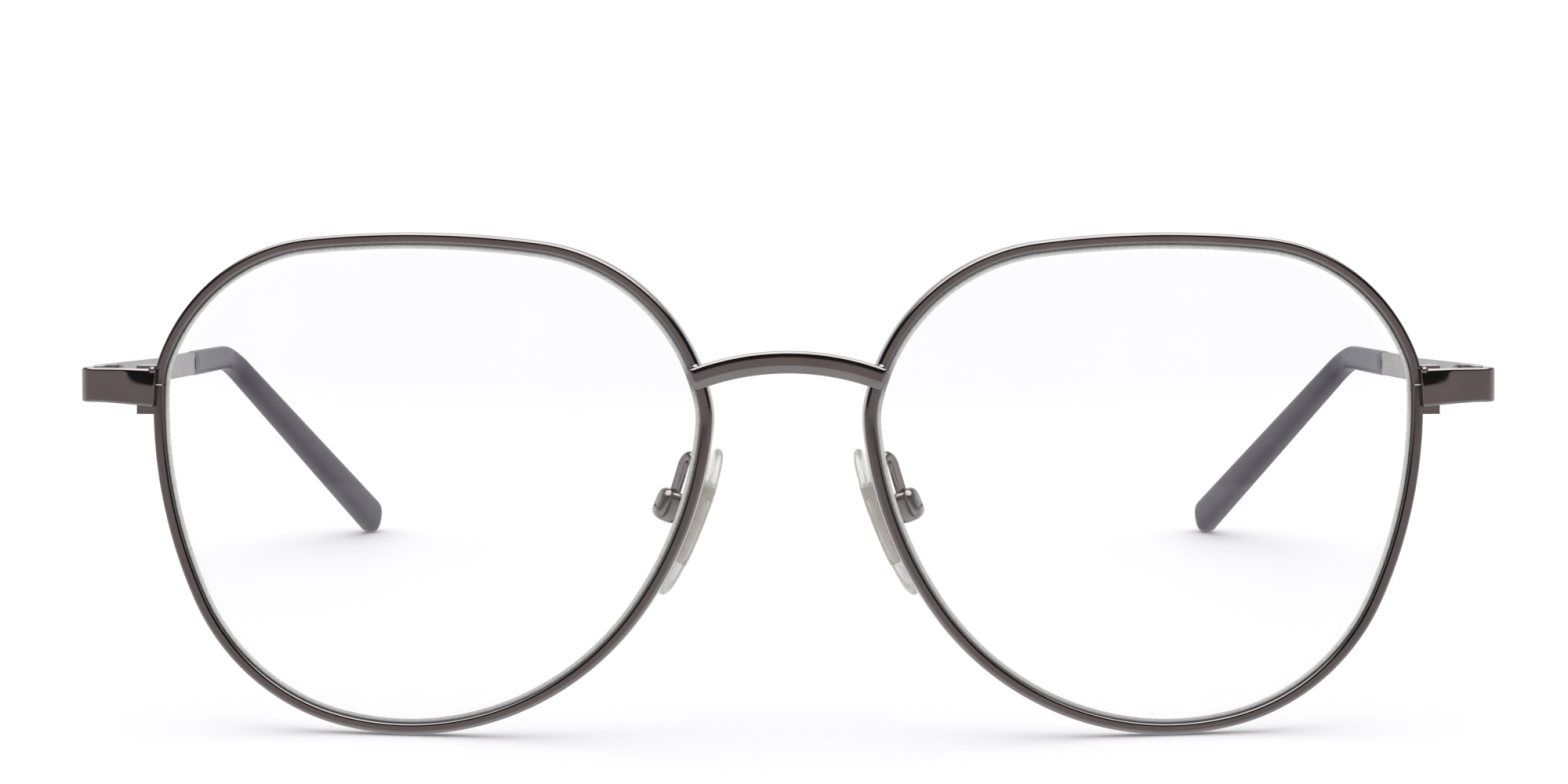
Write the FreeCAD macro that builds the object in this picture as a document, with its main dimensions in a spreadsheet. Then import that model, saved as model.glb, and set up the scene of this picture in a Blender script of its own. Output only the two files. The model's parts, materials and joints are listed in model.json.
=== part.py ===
import FreeCAD, Part
import Sketcher
import math
import os
from FreeCAD import Placement, Rotation, Vector

# Full-rim wire spectacles, opened and standing on their rims and tips, in millimetres.
# The front is worked out in its own upright frame: X to the wearer's left, Y back along the
# temples, Z up, with the origin between the lenses at half their height. Every piece is made
# for the +X side and mirrored; the whole is then leaned back onto the table, Z = 0.

DOC = FreeCAD.newDocument("spectacles")
X_AXIS = Vector(1, 0, 0)
Y_AXIS = Vector(0, 1, 0)
Z_AXIS = Vector(0, 0, 1)

SIZES = {
    # lens and eye wire, in the boxing system
    "lens_width": 54.7,
    "lens_height": 48.1,
    "bridge_gap": 16.2,
    "face_wrap": 8.3,
    "dome_radius": 132.5,
    "lens_thickness": 1.8,
    "bevel_depth": 0.45,
    "bevel_width": 0.6,
    "fit_gap": 0.1,
    "rim_face": 1.15,
    "rim_depth": 2.0,
    "split_gap": 0.1,
    # lens shape: the arcs that the two box sizes leave free
    "temple_corner_radius": 7.75,
    "temple_shoulder_radius": 17.75,
    "crown_radius": 29.75,
    "nose_shoulder_radius": 19.25,
    "nose_corner_radius": 8.75,
    "nose_foot_radius": 28.25,
    # bridge
    "bridge_rise": 12.2,
    "bridge_radius": 26.0,
    "bridge_height": 2.2,
    "bridge_depth": 1.7,
    "bridge_front": 1.59,
    "bridge_lap": 0.47,
    # end piece and rim lock
    "temple_rise": 9.55,
    "end_height": 3.5,
    "end_thickness": 1.1,
    "end_proud": 0.885,
    "end_reach": 7.2,
    "end_return": 6.2,
    "end_bend": 1.5,
    "lock_width": 1.7,
    "lock_depth": 2.2,
    "lock_upper": 1.9,
    "lock_lower": 2.9,
    "lock_screw_radius": 0.45,
    "lock_head_radius": 0.65,
    "lock_head_height": 0.6,
    "thread_cover": 0.5,
    "thread_room": 0.3,
    # hinge
    "knuckle_radius": 1.2,
    "knuckle_height": 1.1,
    "knuckle_gap": 0.05,
    "joint_gap": 0.1,
    "leaf_thickness": 0.8,
    "leaf_length": 4.4,
    "pin_radius": 0.55,
    "pin_head_radius": 0.85,
    "pin_head_height": 0.5,
    "running_gap": 0.04,
    "screw_slot": 0.25,
    # temple and tip
    "toe_in": 3.2,
    "temple_drop": 0.85,
    "temple_front_height": 3.4,
    "temple_height": 2.5,
    "temple_taper_length": 40.0,
    "tip_start": 62.3,
    "bend_reach": 89.5,
    "hook_length": 49.6,
    "hook_angle": 25.5,
    "hook_turn": 14.4,
    "bend_radius": 17.5,
    "turn_radius": 25.0,
    "core_height": 1.6,
    "core_thickness": 0.8,
    "core_length": 24.0,
    "tip_start_height": 2.7,
    "tip_bend_height": 2.6,
    "tip_end_height": 4.1,
    "tip_start_thickness": 1.65,
    "tip_bend_thickness": 2.3,
    "tip_end_thickness": 2.55,
    # nose pads and their arms
    "pad_centre_x": 9.75,
    "pad_centre_y": 9.0,
    "pad_centre_z": -4.05,
    "pad_tilt": 22.3,
    "pad_splay": 16.0,
    "pad_length": 15.6,
    "pad_width": 7.2,
    "pad_thickness": 1.6,
    "insert_length": 8.0,
    "insert_width": 3.2,
    "insert_thickness": 0.8,
    "lug_width": 1.4,
    "lug_height": 1.6,
    "pad_gap": 0.1,
    "lug_swing": 0.45,
    "pad_pivot_out": 2.6,
    "pad_pivot_up": 0.8,
    "box_near": 1.4,
    "box_far": 4.0,
    "box_height": 3.2,
    "box_depth": 3.0,
    "box_rounding": 0.9,
    "pad_screw_radius": 0.4,
    "pad_head_radius": 0.6,
    "pad_head_height": 0.35,
    "arm_radius": 0.55,
    "arm_back": 3.2,
    "arm_rise": 5.0,
    "arm_bend": 1.3,
    "arm_foot_out": -0.1,
    "arm_foot_up": 0.3,
    "arm_apex_out": 0.6,
    "arm_apex_ahead": 2.2,
    "arm_sink": 0.3,
}

# Directions of travel, in degrees, where each arc of the lens shape begins. The shape is walked
# anticlockwise from the lower temple side; the last arc, along the bottom, closes the turn.
ARC_HEADINGS = (66, 92, 111, 174, 187, 189, 257, 275, 306, 374)

# FAR is beyond every piece and OVERCUT is how far a cutter runs past a face. EDGE_TOLERANCE and
# SHORTEST_RUN find the edges to round. FULL_ROUND is the share of a width that rounds its end
# without using it up. A bar's plan outline runs past its side outline by PLAN_OVERRUN. The lean
# settles within LEAN_ROUNDS.
FAR = 100
OVERCUT = 1
EDGE_TOLERANCE = 0.01
SHORTEST_RUN = 0.1
FULL_ROUND = 0.48
PLAN_OVERRUN = 1.2
LEAN_ROUNDS = 6

# Lengths and places that follow from the driving dimensions.
WRAP = "(sizes.face_wrap * 1 deg)"
TOE = "(sizes.toe_in * 1 deg)"
LENS_X = f"(sizes.bridge_gap / 2 + sizes.lens_width / 2 * cos({WRAP}))"
LENS_Y = f"(sizes.lens_width / 2 * sin({WRAP}) + sizes.rim_depth / 2)"
MEAN_EDGE = "((sizes.lens_width + sizes.lens_height) / 4)"
DOME_CENTRE = f"(-sqrt(sizes.dome_radius ^ 2 - {MEAN_EDGE} ^ 2))"
RIM_OUTER = "(sizes.rim_face - sizes.bevel_depth)"


def make_sheet():
    """Write the driving dimensions into the spreadsheet, one alias to a row."""
    sheet = DOC.addObject("Spreadsheet::Sheet", "sizes")
    for row, (alias, value) in enumerate(SIZES.items(), start=1):
        sheet.set(f"B{row}", str(value))
        sheet.setAlias(f"B{row}", alias)
    DOC.recompute()
    return sheet


SHEET = make_sheet()


def number(expression):
    """The value of an expression in the sheet's aliases, as a plain number."""
    return float(SHEET.evalExpression(str(expression)))


def bind(item, **expressions):
    """Bind properties of one object to expressions in the sheet's aliases."""
    for name, expression in expressions.items():
        item.setExpression(name, str(expression))
    return item


# ---------------------------------------------------------------- lens shape

def solve_four(rows, targets):
    """Solve four equations in four unknowns."""
    inverse = FreeCAD.Matrix(*[value for row in rows for value in row]).inverse().A
    return [sum(inverse[4 * row + column] * targets[column] for column in range(4)) for row in range(4)]


def travel(start, stop):
    """Travel along an arc of unit radius between two headings, in radians."""
    return (math.sin(stop) - math.sin(start), math.cos(start) - math.cos(stop))


def lens_arcs():
    """The lens shape as (centre, radius, first heading, last heading), about its box centre.

    The turns are fixed. The temple side, the top, the nose side and the bottom take the radii
    that close the shape with the lens's width and height.
    """
    headings = [math.radians(value) for value in ARC_HEADINGS + (ARC_HEADINGS[0] + 360,)]
    spans = list(zip(headings[:-1], headings[1:]))
    radii = [
        None,
        number("sizes.temple_corner_radius"),
        number("sizes.temple_shoulder_radius"),
        None,
        number("sizes.crown_radius"),
        number("sizes.nose_shoulder_radius"),
        number("sizes.nose_corner_radius"),
        None,
        number("sizes.nose_foot_radius"),
        None,
    ]
    shares = []
    for start, stop in spans:
        across, up = travel(start, stop)
        left = travel(max(start, math.radians(90)), min(stop, math.radians(270)))[0]
        down = travel(max(start, math.radians(180)), min(stop, math.radians(360)))[1]
        in_left = start < math.radians(270) and stop > math.radians(90)
        in_down = start < math.radians(360) and stop > math.radians(180)
        shares.append((across, up, left if in_left else 0, down if in_down else 0))
    targets = [0, 0, -number("sizes.lens_width"), -number("sizes.lens_height")]
    free = [index for index, radius in enumerate(radii) if radius is None]
    for index, radius in enumerate(radii):
        if radius is not None:
            targets = [target - radius * share for target, share in zip(targets, shares[index])]
    rows = [[shares[index][row] for index in free] for row in range(4)]
    for index, radius in zip(free, solve_four(rows, targets)):
        radii[index] = radius
    arcs = []
    place = Vector(0, 0, 0)
    for (start, stop), radius in zip(spans, radii):
        centre = place + Vector(-math.sin(start), math.cos(start), 0) * radius
        arcs.append((centre, radius, start, stop))
        place = centre + Vector(math.sin(stop), -math.cos(stop), 0) * radius
    edge = Part.Wire([arc_edge(arc, 0) for arc in arcs]).BoundBox
    return [(centre - edge.Center, radius, start, stop) for centre, radius, start, stop in arcs]


def arc_edge(arc, offset):
    """One arc of the lens shape, moved outwards by the offset."""
    centre, radius, start, stop = arc
    points = []
    for heading in (start, (start + stop) / 2, stop):
        points.append(centre + Vector(math.sin(heading), -math.cos(heading), 0) * (radius + offset))
    return Part.Arc(*points).toShape()


LENS_ARCS = lens_arcs()


def lens_chord(up):
    """Where the lens shape ends at a height: towards the nose, then towards the temple."""
    shape = Part.Face(Part.Wire([arc_edge(arc, 0) for arc in LENS_ARCS]))
    line = Part.LineSegment(Vector(-FAR, up, 0), Vector(FAR, up, 0)).toShape()
    chord = shape.common(line).BoundBox
    return chord.XMin, chord.XMax


def dome_rise(across, up):
    """How far the lens's curve stands in front of its box centre's plane at a place."""
    return math.sqrt(number("sizes.dome_radius") ** 2 - across ** 2 - up ** 2) + number(DOME_CENTRE)


# Where the bridge and the end piece meet the lens shape, and the places that follow from that.
NOSE_EDGE_V = number("sizes.bridge_rise - sizes.bridge_height")
NOSE_EDGE_U = lens_chord(NOSE_EDGE_V)[0]
NOSE_EDGE_N = dome_rise(NOSE_EDGE_U, NOSE_EDGE_V)
TEMPLE_EDGE_U = lens_chord(number("sizes.temple_rise"))[1]
TEMPLE_EDGE_N = dome_rise(TEMPLE_EDGE_U, number("sizes.temple_rise"))
RIM_FRONT_Y = f"({LENS_Y} + {NOSE_EDGE_U} * sin({WRAP}) - ({NOSE_EDGE_N} + sizes.rim_depth / 2) * cos({WRAP}))"
END_FRONT = f"({TEMPLE_EDGE_N} + sizes.rim_depth / 2 + sizes.end_proud)"
END_BACK = f"({END_FRONT} - sizes.end_thickness)"
TEMPLE_OUTER = "(sizes.knuckle_radius + sizes.joint_gap + sizes.end_thickness)"
CORNER_U = f"(sizes.lens_width / 2 + {RIM_OUTER} + sizes.end_reach)"
CORNER_X = f"({LENS_X} + {CORNER_U} * cos({WRAP}) + {END_FRONT} * sin({WRAP}))"
CORNER_Y = f"({LENS_Y} + {CORNER_U} * sin({WRAP}) - {END_FRONT} * cos({WRAP}))"
HINGE_X = f"({CORNER_X} - sizes.end_return * sin({TOE}) - {TEMPLE_OUTER} * cos({TOE}))"
HINGE_Y = f"({CORNER_Y} + sizes.end_return * cos({TOE}) - {TEMPLE_OUTER} * sin({TOE}))"
TEMPLE_INNER = f"({TEMPLE_OUTER} - sizes.end_thickness)"
TEMPLE_MIDDLE = f"({TEMPLE_OUTER} - sizes.end_thickness / 2)"


# ---------------------------------------------------------------- frames

def lens_frame():
    """U towards the temple, V up, N out of the lens's front; origin at the lens's box centre."""
    turn = Rotation(Z_AXIS, number("sizes.face_wrap")) * Rotation(X_AXIS, 90)
    return Placement(Vector(number(LENS_X), number(LENS_Y), 0), turn)


def temple_frame():
    """X outwards, Y back along the temple, Z along the hinge pin; origin on the pin."""
    turn = Rotation(Z_AXIS, number("sizes.toe_in")) * Rotation(X_AXIS, -number("sizes.temple_drop"))
    return Placement(Vector(number(HINGE_X), number(HINGE_Y), number("sizes.temple_rise")), turn)


def pad_frame():
    """X out of the pad's back, Y along its width, Z along its length; origin at its centre."""
    turn = Rotation(Y_AXIS, -number("sizes.pad_tilt")) * Rotation(Z_AXIS, -number("sizes.pad_splay"))
    centre = Vector(number("sizes.pad_centre_x"), number("sizes.pad_centre_y"), number("sizes.pad_centre_z"))
    return Placement(centre, turn)


UPRIGHT = Placement()
LENS = lens_frame()
TEMPLE = temple_frame()
PAD = pad_frame()
SIDE_VIEW = Rotation(Vector(1, 1, 1), 120)
ALONG_Y = Rotation(X_AXIS, -90)


# ---------------------------------------------------------------- building blocks

def box(name, low, high, frame=UPRIGHT):
    """A box between two corners, each a triple of expressions in the given frame."""
    item = DOC.addObject("Part::Box", name)
    spans = [f"({top}) - ({bottom})" for bottom, top in zip(low, high)]
    bind(item, Length=spans[0], Width=spans[1], Height=spans[2])
    corner = Vector(*[number(value) for value in low])
    item.Placement = frame.multiply(Placement(corner, Rotation()))
    return item


def cylinder(name, radius, height, base, turn=Rotation(), frame=UPRIGHT):
    """A cylinder standing on a base point, a triple of expressions in the given frame."""
    item = DOC.addObject("Part::Cylinder", name)
    bind(item, Radius=radius, Height=height)
    foot = Vector(*[number(value) for value in base])
    item.Placement = frame.multiply(Placement(foot, turn))
    return item


def cut(name, base, *tools):
    """The base less each tool in turn."""
    for count, tool in enumerate(tools, start=1):
        item = DOC.addObject("Part::Cut", f"{name}_{count}")
        item.Base = base
        item.Tool = tool
        base = item
    return base


def fuse(name, *shapes):
    """One solid from several that meet."""
    item = DOC.addObject("Part::MultiFuse", name)
    item.Shapes = list(shapes)
    item.Refine = True
    return item


def common(name, *shapes):
    """The space that all the shapes share."""
    item = DOC.addObject("Part::MultiCommon", name)
    item.Shapes = list(shapes)
    return item


def extrusion(name, base, forward, backward=0):
    """A closed profile pushed along its normal, both ways."""
    item = DOC.addObject("Part::Extrusion", name)
    item.Base = base
    item.DirMode = "Normal"
    item.Solid = True
    bind(item, LengthFwd=forward, LengthRev=backward)
    return item


def polygon(name, corners, frame=UPRIGHT):
    """A closed sketch whose corners are pairs of expressions, each held by two constraints."""
    sketch = DOC.addObject("Sketcher::SketchObject", name)
    points = [Vector(number(across), number(up), 0) for across, up in corners]
    count = len(points)
    for index in range(count):
        sketch.addGeometry(Part.LineSegment(points[index], points[(index + 1) % count]), False)
    for index in range(count):
        joint = Sketcher.Constraint("Coincident", index, 2, (index + 1) % count, 1)
        sketch.addConstraint(joint)
    for index, (across, up) in enumerate(corners):
        held = (("DistanceX", points[index].x, across), ("DistanceY", points[index].y, up))
        for kind, value, expression in held:
            place = sketch.addConstraint(Sketcher.Constraint(kind, -1, 1, index, 1, value))
            sketch.renameConstraint(place, f"{kind}_{index}")
            sketch.setExpression(f"Constraints.{kind}_{index}", str(expression))
    sketch.Placement = frame
    return sketch


def rounded(name, base, places, radius):
    """Round the straight edges of the base whose middles lie over the given places.

    A place is a vector with None for the direction along which the edges run.
    """
    DOC.recompute()
    chosen = []
    for index, edge in enumerate(base.Shape.Edges, start=1):
        middle = edge.valueAt((edge.FirstParameter + edge.LastParameter) / 2)
        for place in places:
            gaps = [abs(have - want) for have, want in zip(middle, place) if want is not None]
            along = [axis for axis, want in enumerate(place) if want is None]
            ends = [edge.Vertexes[0].Point, edge.Vertexes[-1].Point]
            runs = all(abs(ends[0][axis] - ends[1][axis]) > SHORTEST_RUN for axis in along)
            if max(gaps) < EDGE_TOLERANCE and runs:
                chosen.append((index, radius, radius))
    if not chosen:
        raise ValueError(f"{name}: no edge to round")
    item = DOC.addObject("Part::Fillet", name)
    item.Base = base
    item.Edges = chosen
    return item


def part_feature(name, shape):
    """A document object for a shape that the sketches and primitives can't draw."""
    item = DOC.addObject("Part::Feature", name)
    item.Shape = shape
    return item


# ---------------------------------------------------------------- lens curve

def lens_prism(name, offset, frame=UPRIGHT):
    """The lens shape, moved outwards by the offset, as a prism along the lens's axis."""
    wire = Part.Wire([arc_edge(arc, number(offset)) for arc in LENS_ARCS])
    outline = part_feature(f"{name}_outline", Part.Face(wire))
    outline.Placement = frame
    return extrusion(name, outline, FAR, FAR)


def dome(name, radius, frame=UPRIGHT):
    """A sphere about the centre of the lens's curve, its poles above and below the lens."""
    item = DOC.addObject("Part::Sphere", name)
    bind(item, Radius=radius)
    item.Placement = frame.multiply(Placement(Vector(0, 0, number(DOME_CENTRE)), Rotation(X_AXIS, 90)))
    return item


def dome_slab(name, offset, depth, frame=UPRIGHT):
    """A slab of the lens's curve, of the given depth, inside the offset lens shape."""
    prism = lens_prism(f"{name}_prism", offset, frame)
    front = dome(f"{name}_front", f"sizes.dome_radius + ({depth}) / 2", frame)
    back = dome(f"{name}_back", f"sizes.dome_radius - ({depth}) / 2", frame)
    return cut(name, common(f"{name}_blank", prism, front), back)


# ---------------------------------------------------------------- the front

def make_rim():
    """The eye wire: a grooved ring of wire round the lens, split at the rim lock."""
    ring = dome_slab("rim_ring", RIM_OUTER, "sizes.rim_depth")
    inside = lens_prism("rim_inside", "-sizes.bevel_depth")
    groove = dome_slab("rim_groove", "sizes.fit_gap", "sizes.bevel_width + 2 * sizes.fit_gap")
    rise = "sizes.temple_rise"
    half_gap = "sizes.split_gap / 2"
    low = (f"{TEMPLE_EDGE_U} - sizes.rim_depth", f"{rise} - {half_gap}", "-2 * sizes.rim_depth")
    high = ("sizes.lens_width / 2 + sizes.rim_depth", f"{rise} + {half_gap}", "2 * sizes.rim_depth")
    return cut("rim", ring, inside, groove, box("rim_split", low, high))


def make_lens():
    """The meniscus lens with the bevel that sits in the rim's groove."""
    body = dome_slab("lens_body", "-sizes.bevel_depth - sizes.fit_gap", "sizes.lens_thickness")
    bevel = dome_slab("lens_bevel", "0", "sizes.bevel_width")
    return fuse("lens", body, bevel)


def rim_blank(name, frame):
    """The space that a rim and its lens take up, for trimming what meets the rim."""
    return dome_slab(name, RIM_OUTER, "sizes.rim_depth", frame)


def mirrored(name, source):
    """The same shape on the other side of the nose."""
    item = DOC.addObject("Part::Mirroring", name)
    item.Source = source
    item.Normal = X_AXIS
    return item


def make_bridge():
    """An arched half-round bar, its ends lapped over the rims' fronts and cut to their shape."""
    front = f"{RIM_FRONT_Y} - sizes.bridge_front"
    back = f"{front} + sizes.bridge_depth"
    shoulder = f"{front} + sizes.bridge_depth / 3"
    top = "sizes.bridge_rise + sizes.bridge_height / 2"
    bottom = "sizes.bridge_rise - sizes.bridge_height / 2"
    crown = "sizes.bridge_rise + sizes.bridge_height / 4"
    keel = "sizes.bridge_rise - sizes.bridge_height / 4"
    corners = [(back, bottom), (back, top), (shoulder, top), (front, crown), (front, keel), (shoulder, bottom)]
    section = polygon("bridge_section", corners, Placement(Vector(), SIDE_VIEW))
    bar = DOC.addObject("Part::Revolution", "bridge_bar")
    bar.Source = section
    bar.Axis = Y_AXIS
    bar.Base = Vector(0, 0, number("sizes.bridge_rise - sizes.bridge_radius"))
    bar.Symmetric = True
    bar.Solid = True
    foot_x = f"({LENS_X} + {NOSE_EDGE_U} * cos({WRAP}))"
    bind(bar, Angle=f"2 * asin(({foot_x} + sizes.bridge_lap) / sizes.bridge_radius)")
    blank = rim_blank("bridge_trim", LENS)
    return cut("bridge", bar, blank, mirrored("bridge_trim_mirror", blank))


def make_end_piece():
    """The strap from the rim round the corner to the hinge, bent once."""
    low_z = "-sizes.end_height / 2"
    high_z = "sizes.end_height / 2"
    rise = Placement(Vector(0, 0, number("sizes.temple_rise")), Rotation())
    lens_up = rise.multiply(Placement(LENS.Base, Rotation(Z_AXIS, number("sizes.face_wrap"))))
    limb = box("end_front_limb", (f"{TEMPLE_EDGE_U} - 2 * sizes.rim_face", f"-{END_FRONT}", low_z),
               (f"{CORNER_U} + sizes.end_thickness", f"-{END_BACK}", high_z), lens_up)
    beyond = box("end_outer_trim", (TEMPLE_OUTER, -FAR, -FAR), (FAR, FAR, FAR), TEMPLE)
    arm = box("end_back_limb", (TEMPLE_INNER, "-2 * sizes.end_return", low_z),
              (TEMPLE_OUTER, "-sizes.joint_gap / 2", high_z), TEMPLE)
    ahead = box("end_front_trim", (-FAR, -FAR, -FAR), (FAR, f"-{END_FRONT}", FAR), lens_up)
    strap = fuse("end_strap", cut("end_limb", limb, beyond), cut("end_arm", arm, ahead))
    bent = rounded("end_bent", strap, [(number(CORNER_X), number(CORNER_Y), None)], number("sizes.end_bend"))
    return cut("end_piece", bent, lens_prism("end_rim_trim", RIM_OUTER, LENS))


def lock_block(name, low_v, high_v):
    """One half of the rim lock, behind the end piece and against the rim's outer wall."""
    inner = f"{TEMPLE_EDGE_U} - 2 * sizes.rim_face"
    outer = f"sizes.lens_width / 2 + {RIM_OUTER} + sizes.lock_width"
    low = (inner, low_v, f"{END_BACK} - sizes.lock_depth")
    high = (outer, high_v, END_BACK)
    return cut(f"{name}_blank", box(f"{name}_box", low, high), lens_prism(f"{name}_trim", RIM_OUTER))


LOCK_U = f"(sizes.lens_width / 2 + {RIM_OUTER} + sizes.lock_width / 2)"
LOCK_N = f"({END_BACK} - sizes.lock_depth / 2)"
LOCK_BOTTOM = "(sizes.temple_rise - sizes.lock_lower)"
LOCK_TOP = "(sizes.temple_rise + sizes.lock_upper)"


def make_upper_lock():
    """The threaded half of the rim lock."""
    block = lock_block("upper_lock", "sizes.temple_rise + sizes.split_gap / 2", LOCK_TOP)
    bore = cylinder("upper_lock_bore", "sizes.lock_screw_radius + sizes.running_gap",
                    "sizes.lock_upper - sizes.thread_cover", (LOCK_U, "sizes.temple_rise", LOCK_N), ALONG_Y)
    return cut("upper_lock", block, bore)


def make_lower_lock():
    """The half of the rim lock that the screw's head draws up."""
    block = lock_block("lower_lock", LOCK_BOTTOM, "sizes.temple_rise - sizes.split_gap / 2")
    bore = cylinder("lower_lock_bore", "sizes.lock_screw_radius + sizes.running_gap",
                    f"sizes.lock_lower + {OVERCUT}", (LOCK_U, LOCK_BOTTOM, LOCK_N), ALONG_Y)
    seat_foot = (LOCK_U, f"{LOCK_BOTTOM} - {OVERCUT}", LOCK_N)
    seat = cylinder("lower_lock_seat", "sizes.lock_head_radius + sizes.running_gap",
                    f"sizes.lock_head_height + {OVERCUT}", seat_foot, ALONG_Y)
    return cut("lower_lock", block, bore, seat)


def make_screw(name, shank, length, head, head_height):
    """A slotted screw: its head's underside at Z = 0, its shank along +Z, its head below."""
    body = DOC.addObject("PartDesign::Body", name)
    stem = body.newObject("PartDesign::AdditiveCylinder", f"{name}_stem")
    bind(stem, Radius=shank, Height=length)
    cap = body.newObject("PartDesign::AdditiveCylinder", f"{name}_cap")
    bind(cap, Radius=head, Height=head_height)
    cap.Placement.Base = Vector(0, 0, -number(head_height))
    slot = body.newObject("PartDesign::SubtractiveBox", f"{name}_slot")
    deep = f"({head_height}) / 2 + {OVERCUT}"
    bind(slot, Length=f"2 * ({head} + {OVERCUT})", Width="sizes.screw_slot", Height=deep)
    corner = Vector(-number(head), -number("sizes.screw_slot") / 2, -number(head_height))
    slot.Placement.Base = corner - Vector(OVERCUT, 0, OVERCUT)
    return body


def make_lock_screw():
    """The screw that closes the rim round the lens, driven from below."""
    end = "sizes.lock_upper - sizes.thread_cover - sizes.thread_room"
    length = f"sizes.lock_lower - sizes.lock_head_height + {end}"
    return make_screw("lock_screw", "sizes.lock_screw_radius", length,
                      "sizes.lock_head_radius", "sizes.lock_head_height - sizes.running_gap")


def lock_screw_frame():
    """The lock screw's own place: head down, shank along the lens's upright axis."""
    foot = Vector(number(LOCK_U), number(f"{LOCK_BOTTOM} + sizes.lock_head_height"), number(LOCK_N))
    return LENS.multiply(Placement(foot, ALONG_Y))


# ---------------------------------------------------------------- hinge

MIDDLE_HALF = "(sizes.knuckle_height / 2)"
OUTER_START = "(sizes.knuckle_height / 2 + sizes.knuckle_gap)"
OUTER_END = "(sizes.knuckle_height * 3 / 2 + sizes.knuckle_gap)"
KNUCKLE_ROOM = "(sizes.knuckle_radius + sizes.joint_gap)"


def pin_bore(name):
    """The bore for the hinge pin, right through."""
    return cylinder(name, "sizes.pin_radius + sizes.running_gap", 2 * FAR, (0, 0, -FAR))


def make_front_leaf():
    """The front's half of the hinge: a plate on the end piece with two outer knuckles."""
    plate_in = f"{TEMPLE_INNER} - sizes.leaf_thickness"
    plate = box("front_plate", (plate_in, "-sizes.leaf_length", f"-{OUTER_END}"),
                (TEMPLE_INNER, "-sizes.joint_gap / 2", OUTER_END))
    webs = []
    levels = {"low": (f"-{OUTER_END}", f"-{OUTER_START}"), "high": (OUTER_START, OUTER_END)}
    for side, (low, high) in levels.items():
        webs.append(cylinder(f"front_knuckle_{side}", "sizes.knuckle_radius", "sizes.knuckle_height",
                             (0, 0, low)))
        webs.append(box(f"front_web_{side}", (0, "-sizes.knuckle_radius", low), (plate_in, 0, high)))
    notch = box("front_notch", (f"-{TEMPLE_OUTER}", f"-{KNUCKLE_ROOM}", f"-{OUTER_START}"),
                (TEMPLE_INNER, "sizes.knuckle_radius", OUTER_START))
    seat = cylinder("front_leaf_seat", "sizes.pin_head_radius + sizes.running_gap",
                    f"sizes.pin_head_height + {OVERCUT}", (0, 0, f"{OUTER_END} - sizes.pin_head_height"))
    return cut("front_leaf", fuse("front_leaf_blank", plate, *webs), notch, pin_bore("front_bore"), seat)


def make_temple_leaf():
    """The temple's half of the hinge: a plate on the temple with the middle knuckle."""
    plate_in = f"{TEMPLE_INNER} - sizes.leaf_thickness"
    plate = box("temple_plate", (plate_in, "sizes.joint_gap / 2", f"-{OUTER_END}"),
                (TEMPLE_INNER, "sizes.leaf_length", OUTER_END))
    knuckle = cylinder("temple_knuckle", "sizes.knuckle_radius", "sizes.knuckle_height",
                       (0, 0, f"-{MIDDLE_HALF}"))
    web = box("temple_web", (0, 0, f"-{MIDDLE_HALF}"), (plate_in, "sizes.knuckle_radius", MIDDLE_HALF))
    rooms = []
    for side, (low, high) in {"low": (-FAR, f"-{MIDDLE_HALF}"), "high": (MIDDLE_HALF, FAR)}.items():
        rooms.append(box(f"temple_room_{side}", (f"-{TEMPLE_OUTER}", "-sizes.knuckle_radius", low),
                         (TEMPLE_INNER, KNUCKLE_ROOM, high)))
    return cut("temple_leaf", fuse("temple_leaf_blank", plate, knuckle, web), *rooms, pin_bore("temple_bore"))


def make_hinge_screw():
    """The hinge pin, a slotted screw dropped in from above."""
    length = f"2 * {OUTER_END} - sizes.pin_head_height"
    return make_screw("hinge_screw", "sizes.pin_radius", length,
                      "sizes.pin_head_radius", "sizes.pin_head_height - sizes.running_gap")


def hinge_screw_frame():
    """The hinge pin's own place: head up, shank down."""
    head = Vector(0, 0, number(f"{OUTER_END} - sizes.pin_head_height"))
    return TEMPLE.multiply(Placement(head, Rotation(X_AXIS, 180)))


# ---------------------------------------------------------------- temple and tip

def bar_corners(start, bend, length, turn, first, middle, last):
    """Corners of a bar that runs along +X and turns once, clockwise, with three half-widths."""
    lean = f"sizes.{turn} / 2 * 1 deg"
    swing = f"sizes.{turn} * 1 deg"
    end_x = f"{bend} + {length} * cos({swing})"
    end_y = f"-{length} * sin({swing})"
    return [
        (start, first),
        (f"{bend} + ({middle}) * tan({lean})", middle),
        (f"{end_x} + ({last}) * sin({swing})", f"{end_y} + ({last}) * cos({swing})"),
        (f"{end_x} - ({last}) * sin({swing})", f"{end_y} - ({last}) * cos({swing})"),
        (f"{bend} - ({middle}) * tan({lean})", f"-({middle})"),
        (start, f"-({first})"),
    ]


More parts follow.
